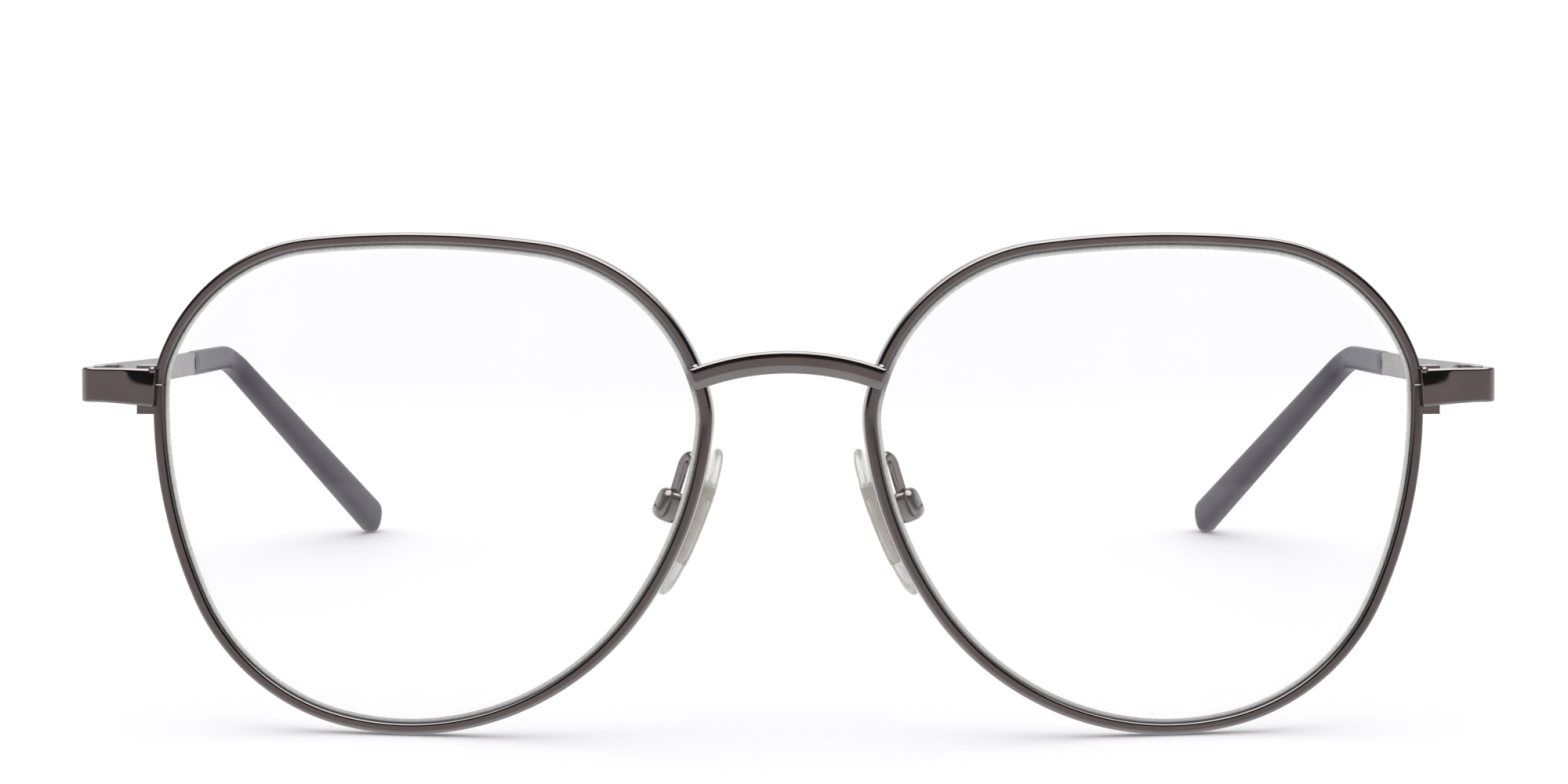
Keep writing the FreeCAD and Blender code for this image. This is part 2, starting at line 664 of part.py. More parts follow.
def bent_bar(name, start, length, heights, widths):
    """A bar in the temple's frame that hooks down in side view and in towards the head in plan.

    It is the side outline, pushed through sideways, where it meets the plan outline, pushed
    through upwards.
    """
    bend = "sizes.bend_reach"
    side_corners = bar_corners(start, bend, length, "hook_angle", *heights)
    side_outline = polygon(f"{name}_side_outline", side_corners, Placement(Vector(), SIDE_VIEW))
    side = extrusion(f"{name}_side", side_outline, FAR, FAR)
    side_bends = []
    for corner in (1, 4):
        side_bends.append((None, number(side_corners[corner][0]), number(side_corners[corner][1])))
    side = rounded(f"{name}_side_bent", side, side_bends, number("sizes.bend_radius"))
    flat_length = f"({length}) * {PLAN_OVERRUN}"
    plan_corners = bar_corners(start, bend, flat_length, "hook_turn", *widths)
    middle = number(TEMPLE_MIDDLE)
    plan_frame = Placement(Vector(middle, 0, 0), Rotation(Z_AXIS, 90))
    flipped = [(along, f"-({across})") for along, across in plan_corners]
    plan = extrusion(f"{name}_plan", polygon(f"{name}_plan_outline", flipped, plan_frame), FAR, FAR)
    plan_bends = []
    for corner in (1, 4):
        across = middle + number(plan_corners[corner][1])
        plan_bends.append((across, number(plan_corners[corner][0]), None))
    plan = rounded(f"{name}_plan_bent", plan, plan_bends, number("sizes.turn_radius"))
    return common(name, side, plan)


def core_bar(name, clearance):
    """The wire inside the tip, or with a clearance the bore that holds it."""
    half_height = f"(sizes.core_height / 2 + {clearance})"
    half_width = f"(sizes.core_thickness / 2 + {clearance})"
    return bent_bar(name, "sizes.tip_start - sizes.leaf_length", f"(sizes.core_length + {clearance})",
                    [half_height] * 3, [half_width] * 3)


def make_temple():
    """The flat temple bar, tapered in height, with the core wire that runs on into the tip."""
    corners = [
        ("sizes.joint_gap / 2", "-sizes.temple_front_height / 2"),
        ("sizes.joint_gap / 2", "sizes.temple_front_height / 2"),
        ("sizes.temple_taper_length", "sizes.temple_height / 2"),
        ("sizes.tip_start", "sizes.temple_height / 2"),
        ("sizes.tip_start", "-sizes.temple_height / 2"),
        ("sizes.temple_taper_length", "-sizes.temple_height / 2"),
    ]
    outline = polygon("temple_outline", corners, Placement(Vector(number(TEMPLE_INNER), 0, 0), SIDE_VIEW))
    bar = extrusion("temple_bar", outline, "sizes.end_thickness")
    return fuse("temple", bar, core_bar("temple_core", "0"))


def make_tip():
    """The moulded tip over the core wire, wider towards its rounded end."""
    places = ("start", "bend", "end")
    heights = [f"sizes.tip_{place}_height / 2" for place in places]
    widths = [f"sizes.tip_{place}_thickness / 2" for place in places]
    start = "sizes.tip_start + sizes.joint_gap / 2"
    sleeve = bent_bar("tip_sleeve", start, "sizes.hook_length", heights, widths)
    corners = bar_corners("0", "sizes.bend_reach", "sizes.hook_length", "hook_angle", *heights)
    ends = [(number(corners[corner][0]), number(corners[corner][1])) for corner in (2, 3)]
    round_end = tip_rounding(sleeve, ends)
    return cut("tip", round_end, core_bar("tip_bore", "sizes.running_gap"))


def tip_rounding(sleeve, ends):
    """Round the two corners at the tip's free end, seen from the side."""
    places = [(None, along, up) for along, up in ends]
    return rounded("tip_rounded", sleeve, places, number("sizes.tip_end_height") * FULL_ROUND)


# ---------------------------------------------------------------- nose pads

def make_pad():
    """The clear pad: an oval plate with its insert moulded in."""
    oval = DOC.addObject("Part::Ellipse", "pad_oval")
    bind(oval, MajorRadius="sizes.pad_length / 2", MinorRadius="sizes.pad_width / 2")
    oval.Placement = Placement(Vector(), Rotation(Vector(0, -1, 0), 90))
    plate = extrusion("pad_plate", oval, "sizes.pad_thickness / 2", "sizes.pad_thickness / 2")
    return cut("pad", plate, insert_shape("pad_hollow"))


def insert_shape(name):
    """The insert: a small plate inside the pad with a lug that stands out of its back."""
    halves = [f"sizes.insert_{side} / 2" for side in ("thickness", "width", "length")]
    plate = box(f"{name}_plate", [f"-{half}" for half in halves], halves)
    up = "sizes.pad_pivot_up"
    lug = box(f"{name}_lug", (0, "-sizes.lug_width / 2", f"{up} - sizes.lug_height / 2"),
              ("sizes.pad_pivot_out", "sizes.lug_width / 2", f"{up} + sizes.lug_height / 2"))
    nose = cylinder(f"{name}_nose", "sizes.lug_height / 2", "sizes.lug_width",
                    ("sizes.pad_pivot_out", "-sizes.lug_width / 2", up), ALONG_Y)
    return fuse(name, plate, lug, nose)


def pad_pivot_bore(name, radius):
    """A bore along the pad's pivot."""
    foot = ("sizes.pad_pivot_out", "-sizes.box_depth", "sizes.pad_pivot_up")
    return cylinder(name, radius, "sizes.box_depth * 2", foot, ALONG_Y)


def make_pad_insert():
    """The insert, bored for the pad screw."""
    return cut("pad_insert", insert_shape("insert"),
               pad_pivot_bore("insert_bore", "sizes.pad_screw_radius + sizes.running_gap"))


def arm_path():
    """The arm's line in the pad's frame: from the rim's back, up and over, down to the pad box."""
    to_pad = PAD.inverse()
    foot = LENS.multVec(Vector(-number("sizes.lens_width / 2"), 0, 0))
    back = foot + Vector(number("sizes.arm_foot_out"), number("sizes.arm_back"), number("sizes.arm_foot_up"))
    apex = Vector(back.x + number("sizes.arm_apex_out"),
                  number("sizes.pad_centre_y - sizes.arm_apex_ahead"),
                  number("sizes.arm_rise - sizes.arm_radius"))
    entry = Vector(number("sizes.pad_pivot_out"), 0,
                   number("sizes.pad_pivot_up + sizes.box_height / 2 - sizes.arm_sink"))
    line = [to_pad.multVec(point) for point in (foot, back, apex)] + [entry]
    return tangent_wire(line, number("sizes.arm_bend"))


def tangent_wire(points, radius):
    """Straight runs through the points, joined by tangent arcs of one radius."""
    edges = []
    last = points[0]
    for before, corner, after in zip(points, points[1:], points[2:]):
        inward = (before - corner).normalize()
        outward = (after - corner).normalize()
        half_turn = (math.pi - inward.getAngle(outward)) / 2
        setback = radius * math.tan(half_turn)
        start = corner + inward * setback
        stop = corner + outward * setback
        middle_way = (inward + outward).normalize()
        middle = corner + middle_way * (radius / math.cos(half_turn) - radius)
        edges.append(Part.LineSegment(last, start).toShape())
        edges.append(Part.Arc(start, middle, stop).toShape())
        last = stop
    edges.append(Part.LineSegment(last, points[-1]).toShape())
    return Part.Wire(edges)


def make_pad_arm():
    """The goose-neck arm brazed to the rim's back, with the box that holds the pad's lug."""
    wire = arm_path()
    path = part_feature("arm_line", wire)
    ring = DOC.addObject("Part::Circle", "arm_ring")
    bind(ring, Radius="sizes.arm_radius")
    start = wire.OrderedEdges[0]
    first = start.FirstParameter
    ring.Placement = Placement(start.valueAt(first), Rotation(Z_AXIS, start.tangentAt(first)))
    arm = DOC.addObject("Part::Sweep", "arm_wire")
    arm.Sections = [ring]
    arm.Spine = (path, [f"Edge{index}" for index in range(1, len(wire.Edges) + 1)])
    arm.Solid = True
    arm.Frenet = False
    half_depth = "sizes.box_depth / 2"
    up = "sizes.pad_pivot_up"
    shell = box("pad_box", ("sizes.box_near", f"-{half_depth}", f"{up} - sizes.box_height / 2"),
                ("sizes.box_far", half_depth, f"{up} + sizes.box_height / 2"))
    corners = [(number("sizes.box_far"), None, number(f"{up} {sign} sizes.box_height / 2")) for sign in "+-"]
    shell = rounded("pad_box_round", shell, corners, number("sizes.box_rounding"))
    slot_half = "(sizes.lug_width / 2 + sizes.pad_gap)"
    swing = "(sizes.lug_height / 2 + sizes.lug_swing)"
    slot = box("pad_slot", ("sizes.box_near - 1", f"-{slot_half}", f"{up} - {swing}"),
               ("sizes.pad_pivot_out + sizes.lug_height / 2 + sizes.pad_gap", slot_half, f"{up} + {swing}"))
    bore = pad_pivot_bore("box_bore", "sizes.pad_screw_radius + sizes.running_gap")
    seat = cylinder("box_seat", "sizes.pad_head_radius + sizes.running_gap", "sizes.box_depth",
                    ("sizes.pad_pivot_out", f"{half_depth} - sizes.pad_head_height", up), ALONG_Y)
    trim = rim_blank("pad_arm_trim", PAD.inverse().multiply(LENS))
    return cut("pad_arm", fuse("pad_arm_whole", arm, shell), trim, slot, bore, seat)


def make_pad_screw():
    """The screw through the pad box and the lug, which the pad rocks on."""
    length = "sizes.box_depth - sizes.pad_head_height"
    return make_screw("pad_screw", "sizes.pad_screw_radius", length,
                      "sizes.pad_head_radius", "sizes.pad_head_height - sizes.running_gap")


def pad_screw_frame():
    """The pad screw's own place: head at the back, shank forwards."""
    head = Vector(number("sizes.pad_pivot_out"), number("sizes.box_depth / 2 - sizes.pad_head_height"),
                  number("sizes.pad_pivot_up"))
    return PAD.multiply(Placement(head, Rotation(X_AXIS, 90)))


# ---------------------------------------------------------------- assembly

def leaned_box(shape, lean):
    """The box round a shape once the glasses lean back by an angle."""
    leaned = shape.copy()
    leaned.rotate(Vector(), X_AXIS, -lean)
    return leaned.optimalBoundingBox(False, False)


def resting_lean(rim, tip):
    """The angle at which the rims and the tips touch the table together."""
    lean = 0.0
    reach = tip.BoundBox.YMax - rim.BoundBox.YMin
    for _ in range(LEAN_ROUNDS):
        gap = leaned_box(tip, lean).ZMin - leaned_box(rim, lean).ZMin
        lean += math.degrees(math.atan(gap / reach))
    return lean


def resting_place(rim, tip):
    """The placement that stands the open glasses on the table, middle over the origin."""
    lean = resting_lean(rim, tip)
    boxes = [leaned_box(shape, lean) for shape in (rim, tip)]
    middle = (min(item.YMin for item in boxes) + max(item.YMax for item in boxes)) / 2
    return Placement(Vector(0, -middle, -boxes[0].ZMin), Rotation(X_AXIS, -lean))


def placed_shape(item, frame):
    """An object's shape moved into a frame, for measuring."""
    shape = item.Shape.copy()
    shape.Placement = frame.multiply(shape.Placement)
    return shape


def check_state(items):
    """Stop if any object of the document failed."""
    for item in items:
        if any(word in item.State for word in ("Invalid", "Error")):
            raise RuntimeError(f"{item.Label} failed: {item.State}")


def check_shape(item):
    """Stop if a sub-part isn't one or more valid solids."""
    shape = item.Shape
    if shape.isNull() or not shape.isValid() or not shape.Solids:
        raise RuntimeError(f"{item.Label} has no valid solid")


def build():
    """Make every sub-part for one side, stand the glasses on the table and mirror them."""
    paired = {
        "rim": (make_rim(), LENS),
        "lens": (make_lens(), LENS),
        "end_piece": (make_end_piece(), UPRIGHT),
        "upper_rim_lock": (make_upper_lock(), LENS),
        "lower_rim_lock": (make_lower_lock(), LENS),
        "rim_lock_screw": (make_lock_screw(), lock_screw_frame()),
        "front_hinge_leaf": (make_front_leaf(), TEMPLE),
        "temple_hinge_leaf": (make_temple_leaf(), TEMPLE),
        "hinge_screw": (make_hinge_screw(), hinge_screw_frame()),
        "temple": (make_temple(), TEMPLE),
        "temple_tip": (make_tip(), TEMPLE),
        "pad_arm": (make_pad_arm(), PAD),
        "nose_pad": (make_pad(), PAD),
        "pad_insert": (make_pad_insert(), PAD),
        "pad_screw": (make_pad_screw(), pad_screw_frame()),
    }
    bridge = make_bridge()
    DOC.recompute()
    check_state(DOC.Objects)
    rest = resting_place(placed_shape(*paired["rim"]), placed_shape(*paired["temple_tip"]))
    bridge.Placement = rest
    bridge.Label = "bridge"
    subparts = [bridge]
    for label, (item, frame) in paired.items():
        item.Placement = rest.multiply(frame)
        item.Label = f"left_{label}"
        other = mirrored(f"right_{label}", item)
        other.Label = f"right_{label}"
        subparts += [item, other]
    DOC.recompute()
    check_state(DOC.Objects)
    return subparts


def main():
    """Build, check and write one file for each sub-part."""
    subparts = build()
    os.makedirs("parts", exist_ok=True)
    for item in subparts:
        check_shape(item)
        print(f"{item.Label}: {len(item.Shape.Solids)} solid, {item.Shape.Volume:.3f} mm3")
    for item in subparts:
        item.Shape.exportStep(f"parts/{item.Label}.step")


main()
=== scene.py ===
import json
import math
import bpy
import numpy as np
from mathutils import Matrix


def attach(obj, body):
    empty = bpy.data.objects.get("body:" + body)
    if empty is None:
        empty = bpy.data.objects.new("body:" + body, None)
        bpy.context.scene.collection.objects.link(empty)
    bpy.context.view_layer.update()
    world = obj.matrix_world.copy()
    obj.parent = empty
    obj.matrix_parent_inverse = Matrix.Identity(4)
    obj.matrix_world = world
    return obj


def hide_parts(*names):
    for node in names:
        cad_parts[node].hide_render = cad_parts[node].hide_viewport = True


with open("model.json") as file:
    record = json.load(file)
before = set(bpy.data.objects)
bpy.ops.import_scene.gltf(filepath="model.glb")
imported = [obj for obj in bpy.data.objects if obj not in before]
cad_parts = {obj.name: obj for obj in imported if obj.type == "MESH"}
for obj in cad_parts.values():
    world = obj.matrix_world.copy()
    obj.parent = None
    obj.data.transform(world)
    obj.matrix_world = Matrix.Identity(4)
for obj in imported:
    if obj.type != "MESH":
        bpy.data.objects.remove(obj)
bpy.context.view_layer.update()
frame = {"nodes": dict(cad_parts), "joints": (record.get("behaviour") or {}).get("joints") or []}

# Lengths are millimetres and angles degrees, as on the bench, and points become metres when a
# mesh is made. The front is worked out upright, X to the wearer's left, Y back along the temples
# and Z up, from between the lenses, and then leaned back onto the table.

# lens and eye wire
LENS_WIDTH, LENS_HEIGHT, BRIDGE_GAP = 54.7, 48.1, 16.2
FACE_WRAP, DOME_RADIUS = 8.3, 132.5
LENS_THICKNESS, BEVEL_DEPTH, BEVEL_WIDTH, FIT_GAP, GROUND_CHAMFER = 1.8, 0.45, 0.6, 0.1, 0.34
RIM_FACE, RIM_DEPTH, SPLIT_GAP = 1.15, 2.0, 0.1
RIM_OUTER = RIM_FACE - BEVEL_DEPTH
ARC_HEADINGS = (66, 92, 111, 174, 187, 189, 257, 275, 306, 374)
ARC_RADII = (None, 7.75, 17.75, None, 29.75, 19.25, 8.75, None, 28.25, None)
# bridge
BRIDGE_RISE, BRIDGE_RADIUS, BRIDGE_HEIGHT, BRIDGE_DEPTH = 12.2, 26.0, 2.2, 1.7
BRIDGE_FRONT, BRIDGE_LAP = 1.59, 0.47
# end piece, temple and hinge
TEMPLE_RISE, END_THICKNESS, END_PROUD, END_REACH, END_RETURN, END_BEND = 9.55, 1.1, 0.885, 7.2, 6.2, 1.5
TOE_IN, TEMPLE_DROP, JOINT_GAP, KNUCKLE_RADIUS = 3.2, 0.85, 0.1, 1.2
TEMPLE_OUTER = KNUCKLE_RADIUS + JOINT_GAP + END_THICKNESS
TEMPLE_MIDDLE = TEMPLE_OUTER - END_THICKNESS / 2
TEMPLE_FRONT_HEIGHT, TEMPLE_HEIGHT, TEMPLE_TAPER = 3.4, 2.5, 40.0
TIP_START, BEND_REACH, HOOK_LENGTH, HOOK_ANGLE, HOOK_TURN = 62.3, 89.5, 49.6, 25.5, 14.4
BEND_RADIUS, TURN_RADIUS = 17.5, 25.0
TIP_HEIGHTS, TIP_THICKNESSES = (2.7, 2.6, 4.1), (1.65, 2.3, 2.55)
# nose pad
PAD_CENTRE, PAD_TILT, PAD_SPLAY = (9.75, 9.0, -4.05), 22.3, 16.0
PAD_LENGTH, PAD_WIDTH, PAD_THICKNESS = 15.6, 7.2, 1.6
# pad arm: the wire's back corner from its foot, its end and the box in the pad's own frame
ARM_RADIUS, ARM_BEND, ARM_END_BEND, ARM_SWELL, ARM_LEAD = 0.55, 1.3, 0.3, 0.12, 0.3
ARM_BACK, ARM_APEX_OUT, ARM_APEX = (-0.1, 3.2, 0.3), 0.6, (6.8, 4.45)
ARM_ENTRY, ARM_END = (2.6, 0, 2.1), (2.6, 0, 1.0)
BOX_CENTRE, BOX_HALF_SIZES, BOX_POWER = (2.7, 0, 0.8), (1.32, 1.52, 1.62), 3.4

# camera: metres, millimetres on its sensor, and degrees below level
CAMERA_PLACE, CAMERA_DROP = (0, -0.66527, 0.10501), 6.799
SENSOR_WIDTH, FOCAL_LENGTH, CAMERA_SHIFT = 36, 140.26, -0.00275
# degrees between faces that show a sharp edge, and the step along the outline
SHARP = 38
FINE_STEP = 0.05
TABLE_REACH = 6.0


# ---------------------------------------------------------------- places

def turn(axis, degrees):
    """A rotation about one axis by the right-hand rule."""
    c, s = math.cos(math.radians(degrees)), math.sin(math.radians(degrees))
    i, j = (axis + 1) % 3, (axis + 2) % 3
    matrix = np.eye(3)
    matrix[i, i], matrix[i, j], matrix[j, i], matrix[j, j] = c, -s, s, c
    return matrix


def put(points, place):
    """Points of a place's own frame in the frame that holds it."""
    matrix, origin = place
    return points @ matrix.T + origin


def dome(across, up, depth=0.0):
    """Height of the lens's curve: a sphere through the mean edge, thicker by the depth."""
    edge = (LENS_WIDTH + LENS_HEIGHT) / 4
    level = math.sqrt(DOME_RADIUS ** 2 - edge ** 2)
    return np.sqrt((DOME_RADIUS + depth) ** 2 - across ** 2 - up ** 2) - level


def lens_shape():
    """Lens outline and its outward normals.

    It is a closed chain of tangent arcs walked anticlockwise. The four free radii solve four
    equations: the chain closes in both directions and has the lens's width and height. A point
    of an arc is its centre plus the radius times the normal at the heading.
    """
    heads = np.radians(ARC_HEADINGS + (ARC_HEADINGS[0] + 360,))
    start, stop = heads[:-1], heads[1:]

    def travel(low, high):
        a, b = np.clip(start, low, high), np.clip(stop, low, high)
        return np.array([np.sin(b) - np.sin(a), np.cos(a) - np.cos(b)])

    shares = np.stack([*travel(0, 9), travel(math.pi / 2, 1.5 * math.pi)[0], travel(math.pi, 2 * math.pi)[1]])
    known = np.array([radius is not None for radius in ARC_RADII])
    radii = np.array([radius or 0 for radius in ARC_RADII], float)
    wanted = np.array([0, 0, -LENS_WIDTH, -LENS_HEIGHT]) - shares[:, known] @ radii[known]
    radii[~known] = np.linalg.solve(shares[:, ~known], wanted)
    ends = np.cumsum(travel(0, 9) * radii, axis=1)
    starts = np.concatenate([np.zeros((2, 1)), ends[:, :-1]], axis=1)
    centres = starts + radii * np.array([-np.sin(start), np.cos(start)])
    counts = np.ceil(radii * (stop - start) / FINE_STEP).astype(int)
    heading = np.concatenate([np.linspace(a, b, n, endpoint=False) for a, b, n in zip(start, stop, counts)])
    normals = np.stack([np.sin(heading), -np.cos(heading)], axis=1)
    points = np.repeat(centres.T, counts, axis=0) + np.repeat(radii, counts)[:, None] * normals
    points -= (points.min(axis=0) + points.max(axis=0)) / 2
    return points, normals


OUTLINE, OUTWARD = lens_shape()


def outline_from_split(count, gap):
    """Points and normals at even steps round the outline, from the split on the temple side and
    back to it, with a gap left open. A gap of none gives a closed ring."""
    points, normals = OUTLINE, OUTWARD
    first = np.argmin(np.abs(points[:, 1] - TEMPLE_RISE) + 100 * (points[:, 0] < 0))
    points = np.roll(points, -first, axis=0)
    normals = np.roll(normals, -first, axis=0)
    points = np.concatenate([points, points[:1]])
    normals = np.concatenate([normals, normals[:1]])
    walk = np.concatenate([[0], np.cumsum(np.linalg.norm(np.diff(points, axis=0), axis=1))])
    where = np.linspace(gap / 2, walk[-1] - gap / 2, count, endpoint=gap > 0)
    place = np.stack([np.interp(where, walk, points[:, k]) for k in (0, 1)], axis=1)
    out = np.stack([np.interp(where, walk, normals[:, k]) for k in (0, 1)], axis=1)
    return place, out / np.linalg.norm(out, axis=1)[:, None]


def edge_across(up, side):
    """How far the outline reaches at a height: towards the temple for +1, the nose for -1."""
    near = np.abs(OUTLINE[:, 1] - up) + 100 * (OUTLINE[:, 0] * side < 0)
    return OUTLINE[np.argmin(near), 0]


def unit(vector):
    """Vectors of length one."""
    vector = np.asarray(vector, float)
    return vector / np.linalg.norm(vector, axis=-1, keepdims=True)


WRAP_TURN = turn(2, FACE_WRAP)
LENS_CENTRE = np.array([BRIDGE_GAP / 2, RIM_DEPTH / 2, 0]) + LENS_WIDTH / 2 * WRAP_TURN[:, 0]
LENS = (WRAP_TURN @ turn(0, 90), LENS_CENTRE)
LENS_U = LENS[0][:, 0]
TEMPLE_EDGE_U = edge_across(TEMPLE_RISE, 1)
NOSE_EDGE_V = BRIDGE_RISE - BRIDGE_HEIGHT
NOSE_EDGE_U = edge_across(NOSE_EDGE_V, -1)
END_FRONT = dome(TEMPLE_EDGE_U, TEMPLE_RISE) + RIM_DEPTH / 2 + END_PROUD
NOSE_EDGE = put(np.array([NOSE_EDGE_U, NOSE_EDGE_V, dome(NOSE_EDGE_U, NOSE_EDGE_V) + RIM_DEPTH / 2]), LENS)
CORNER = put(np.array([LENS_WIDTH / 2 + RIM_OUTER + END_REACH, 0, END_FRONT]), LENS)
TOE_TURN = turn(2, TOE_IN)
HINGE = CORNER + END_RETURN * TOE_TURN[:, 1] - TEMPLE_OUTER * TOE_TURN[:, 0]
TEMPLE = (TOE_TURN @ turn(0, -TEMPLE_DROP), HINGE + [0, 0, TEMPLE_RISE])
PAD = (turn(1, -PAD_TILT) @ turn(2, -PAD_SPLAY), np.array(PAD_CENTRE))


def resting_place():
    """The lean and the shift that carry the upright hinge pin onto the frame's own pin."""
    joint = next(item for item in frame["joints"] if item["name"] == "left_temple_fold")
    pin, real = TEMPLE[0][:, 2], joint["axis"]
    lean = math.degrees(math.atan2(real[1], real[2]) - math.atan2(pin[1], pin[2]))
    tilt = turn(0, -lean)
    return tilt, np.array(joint["pos_m"]) * 1000 - tilt @ TEMPLE[1]


REST = resting_place()


# ---------------------------------------------------------------- meshes

def grid_faces(rings, around):
    """Quads between neighbouring rings of a grid, each ring joined to itself."""
    i, j = np.meshgrid(np.arange(rings - 1), np.arange(around), indexing="ij")
    k, m = i + 1, (j + 1) % around
    return np.stack([i * around + j, i * around + m, k * around + m, k * around + j], axis=-1).reshape(-1, 4)


def volume(points, faces):
    """Signed volume of a closed shell: the sum of its tetrahedra from the origin."""
    total = 0.0
    for face in faces:
        face = np.atleast_2d(face)
        for k in range(1, face.shape[1] - 1):
            a, b, c = points[face[:, 0]], points[face[:, k]], points[face[:, k + 1]]
            total += np.einsum("ij,ij->i", a, np.cross(b, c)).sum()
    return total


def make_mesh(name, rings, side=1, finishes=(), finish_of=None):
    """A shell from rings of points (ring, place, xyz), given upright in millimetres.

    It is closed at both ends by flat caps. The side is -1 for the mirrored piece, and the faces
    are turned so that they point outwards.
    """
    count, around = rings.shape[:2]
    points = put(rings.reshape(-1, 3), REST) / 1000
    points[:, 0] *= side
    quads = grid_faces(count, around)
    caps = [np.arange(around)[::-1], (count - 1) * around + np.arange(around)]
    if volume(points, [quads] + caps) < 0:
        quads = quads[:, ::-1]
        caps = [cap[::-1] for cap in caps]
    mesh = bpy.data.meshes.new(name)
    mesh.from_pydata(points.tolist(), [], quads.tolist() + [cap.tolist() for cap in caps])
    mesh.polygons.foreach_set("use_smooth", [True] * len(mesh.polygons))
    mesh.set_sharp_from_angle(angle=math.radians(SHARP))
    for finish in finishes:
        mesh.materials.append(finish)
    if finish_of is not None:
        index = np.repeat(finish_of, around)[: len(quads)]
        mesh.polygons.foreach_set("material_index", np.concatenate([index, [0] * len(caps)]).astype(int))
    mesh.update()
    piece = bpy.data.objects.new(name, mesh)
    bpy.context.scene.collection.objects.link(piece)
    return piece


def arc_line(corners, radii, steps):
    """Straight runs through the corners, each corner rounded by a tangent arc.

    The arc's centre lies on the bisector, its ends one tangent length from the corner, and its
    points turn evenly from one to the other.
    """
    corners = np.asarray(corners, float)
    line = [corners[:1]]
    for before, corner, after, radius in zip(corners, corners[1:], corners[2:], radii):
        inward, outward = unit(before - corner), unit(after - corner)
        half = (math.pi - math.acos(np.clip(inward @ outward, -1, 1))) / 2
        middle = corner + unit(inward + outward) * radius / math.cos(half)
        first = corner + inward * radius * math.tan(half) - middle
        last = corner + outward * radius * math.tan(half) - middle
        share = np.linspace(0, 1, steps)[:, None]
        sweep = 2 * half
        blend = np.sin((1 - share) * sweep) * first + np.sin(share * sweep) * last
        line.append(middle + blend / math.sin(sweep))
    return np.concatenate(line + [corners[-1:]])


def along(line, where):
    """Points of a line at given distances from its start."""
    walk = np.concatenate([[0], np.cumsum(np.linalg.norm(np.diff(line, axis=0), axis=1))])
    return np.stack([np.interp(where, walk, line[:, k]) for k in range(line.shape[1])], axis=1)


def line_length(line):
    """Length of a line of points."""
    return np.linalg.norm(np.diff(line, axis=0), axis=1).sum()


def stations(length, count, rounding, steps=7):
    """Distances along a bar, closer together over the rounding at both ends."""
    close = rounding * (1 - np.cos(np.linspace(0, math.pi / 2, steps)))
    middle = np.linspace(rounding, length - rounding, count)[1:-1]
    return np.concatenate([close, middle, length - close[::-1]])


def drawn_in(where, length, rounding):
    """How much a bar's half sizes shrink near its ends, along a quarter circle."""
    reach = np.clip(rounding - np.minimum(where, length - where), 0, rounding)
    return rounding - np.sqrt(rounding ** 2 - reach ** 2)


def soft_oblong(half_width, half_height, radius, steps=5, face_steps=0):
    """Closed section for each station: an oblong with quarter-round corners, its two tall faces
    divided evenly."""
    angle = np.concatenate([np.linspace(k, k + 1, steps) for k in range(4)]) * math.pi / 2
    corner_x = np.repeat([1, -1, -1, 1], steps)
    corner_y = np.repeat([1, 1, -1, -1], steps)
    width, height, radius = (np.asarray(v, float).reshape(-1, 1) for v in (half_width, half_height, radius))
    across = corner_x * (width - radius) + radius * np.cos(angle)
    rise = corner_y * (height - radius) + radius * np.sin(angle)
    if face_steps:
        share = np.linspace(-1, 1, face_steps + 2)[1:-1]
        face = (height - radius) * share
        edge = width * np.ones_like(face)
        across = np.hstack([across[:, : 2 * steps], -edge, across[:, 2 * steps:], edge])
        rise = np.hstack([rise[:, : 2 * steps], -face, rise[:, 2 * steps:], face])
    return across, rise


def oval(half_width, half_height, power, count=36):
    """Closed section for each station: a superellipse of the given power."""
    angle = np.linspace(0, 2 * math.pi, count, endpoint=False)
    c, s = np.cos(angle), np.sin(angle)
    width, height = (np.asarray(v, float).reshape(-1, 1) for v in (half_width, half_height))
    return (width * np.sign(c) * np.abs(c) ** (2 / power), height * np.sign(s) * np.abs(s) ** (2 / power))


def carried(line, section, up):
    """Sections carried along a line: each point is the line's point plus the section's two
    numbers times the sideways and the upward direction square to the line."""
    ahead = unit(np.gradient(line, axis=0))
    raised = unit(up - (ahead @ up)[:, None] * ahead)
    sideways = np.cross(ahead, raised)
    across, rise = section
    return line[:, None] + across[..., None] * sideways[:, None] + rise[..., None] * raised[:, None]


# ---------------------------------------------------------------- finishes

def finish(name):
    """An empty node finish and its surface shader."""
    made = bpy.data.materials.new(name)
    made.use_nodes = True
    return made, made.node_tree, made.node_tree.nodes["Principled BSDF"]


def add(tree, kind, **settings):
    """A node with its settings: names of sockets, or of properties."""
    node = tree.nodes.new(kind)
    for key, value in settings.items():
        if hasattr(node, key):
            setattr(node, key, value)
        else:
            node.inputs[key.replace("_", " ")].default_value = value
    return node


def cloud(tree, scale, detail=3.0, stretch=(1, 1, 1)):
    """Noise on object coordinates, drawn out along an axis where the stretch is small."""
    where = add(tree, "ShaderNodeTexCoord")
    fit = add(tree, "ShaderNodeMapping")
    fit.inputs["Scale"].default_value = stretch
    noise = add(tree, "ShaderNodeTexNoise", Scale=scale, Detail=detail)
    tree.links.new(where.outputs["Object"], fit.inputs["Vector"])
    tree.links.new(fit.outputs["Vector"], noise.inputs["Vector"])
    return noise.outputs["Fac"]


def ramp(tree, value, stops):
    """Colours or greys against a value, as (place, colour) stops."""
    node = add(tree, "ShaderNodeValToRGB")
    while len(node.color_ramp.elements) < len(stops):
        node.color_ramp.elements.new(0.5)
    for element, (place, colour) in zip(node.color_ramp.elements, stops):
        element.position = place
        element.color = (*colour, 1) if hasattr(colour, "__len__") else (colour, colour, colour, 1)
    tree.links.new(value, node.inputs["Fac"])
    return node.outputs["Color"]


def varied(tree, shader, socket, value, low, high):
    """A socket that runs between two colours or greys as a value goes from low to high."""
    tree.links.new(ramp(tree, value, [low, high]), shader.inputs[socket])


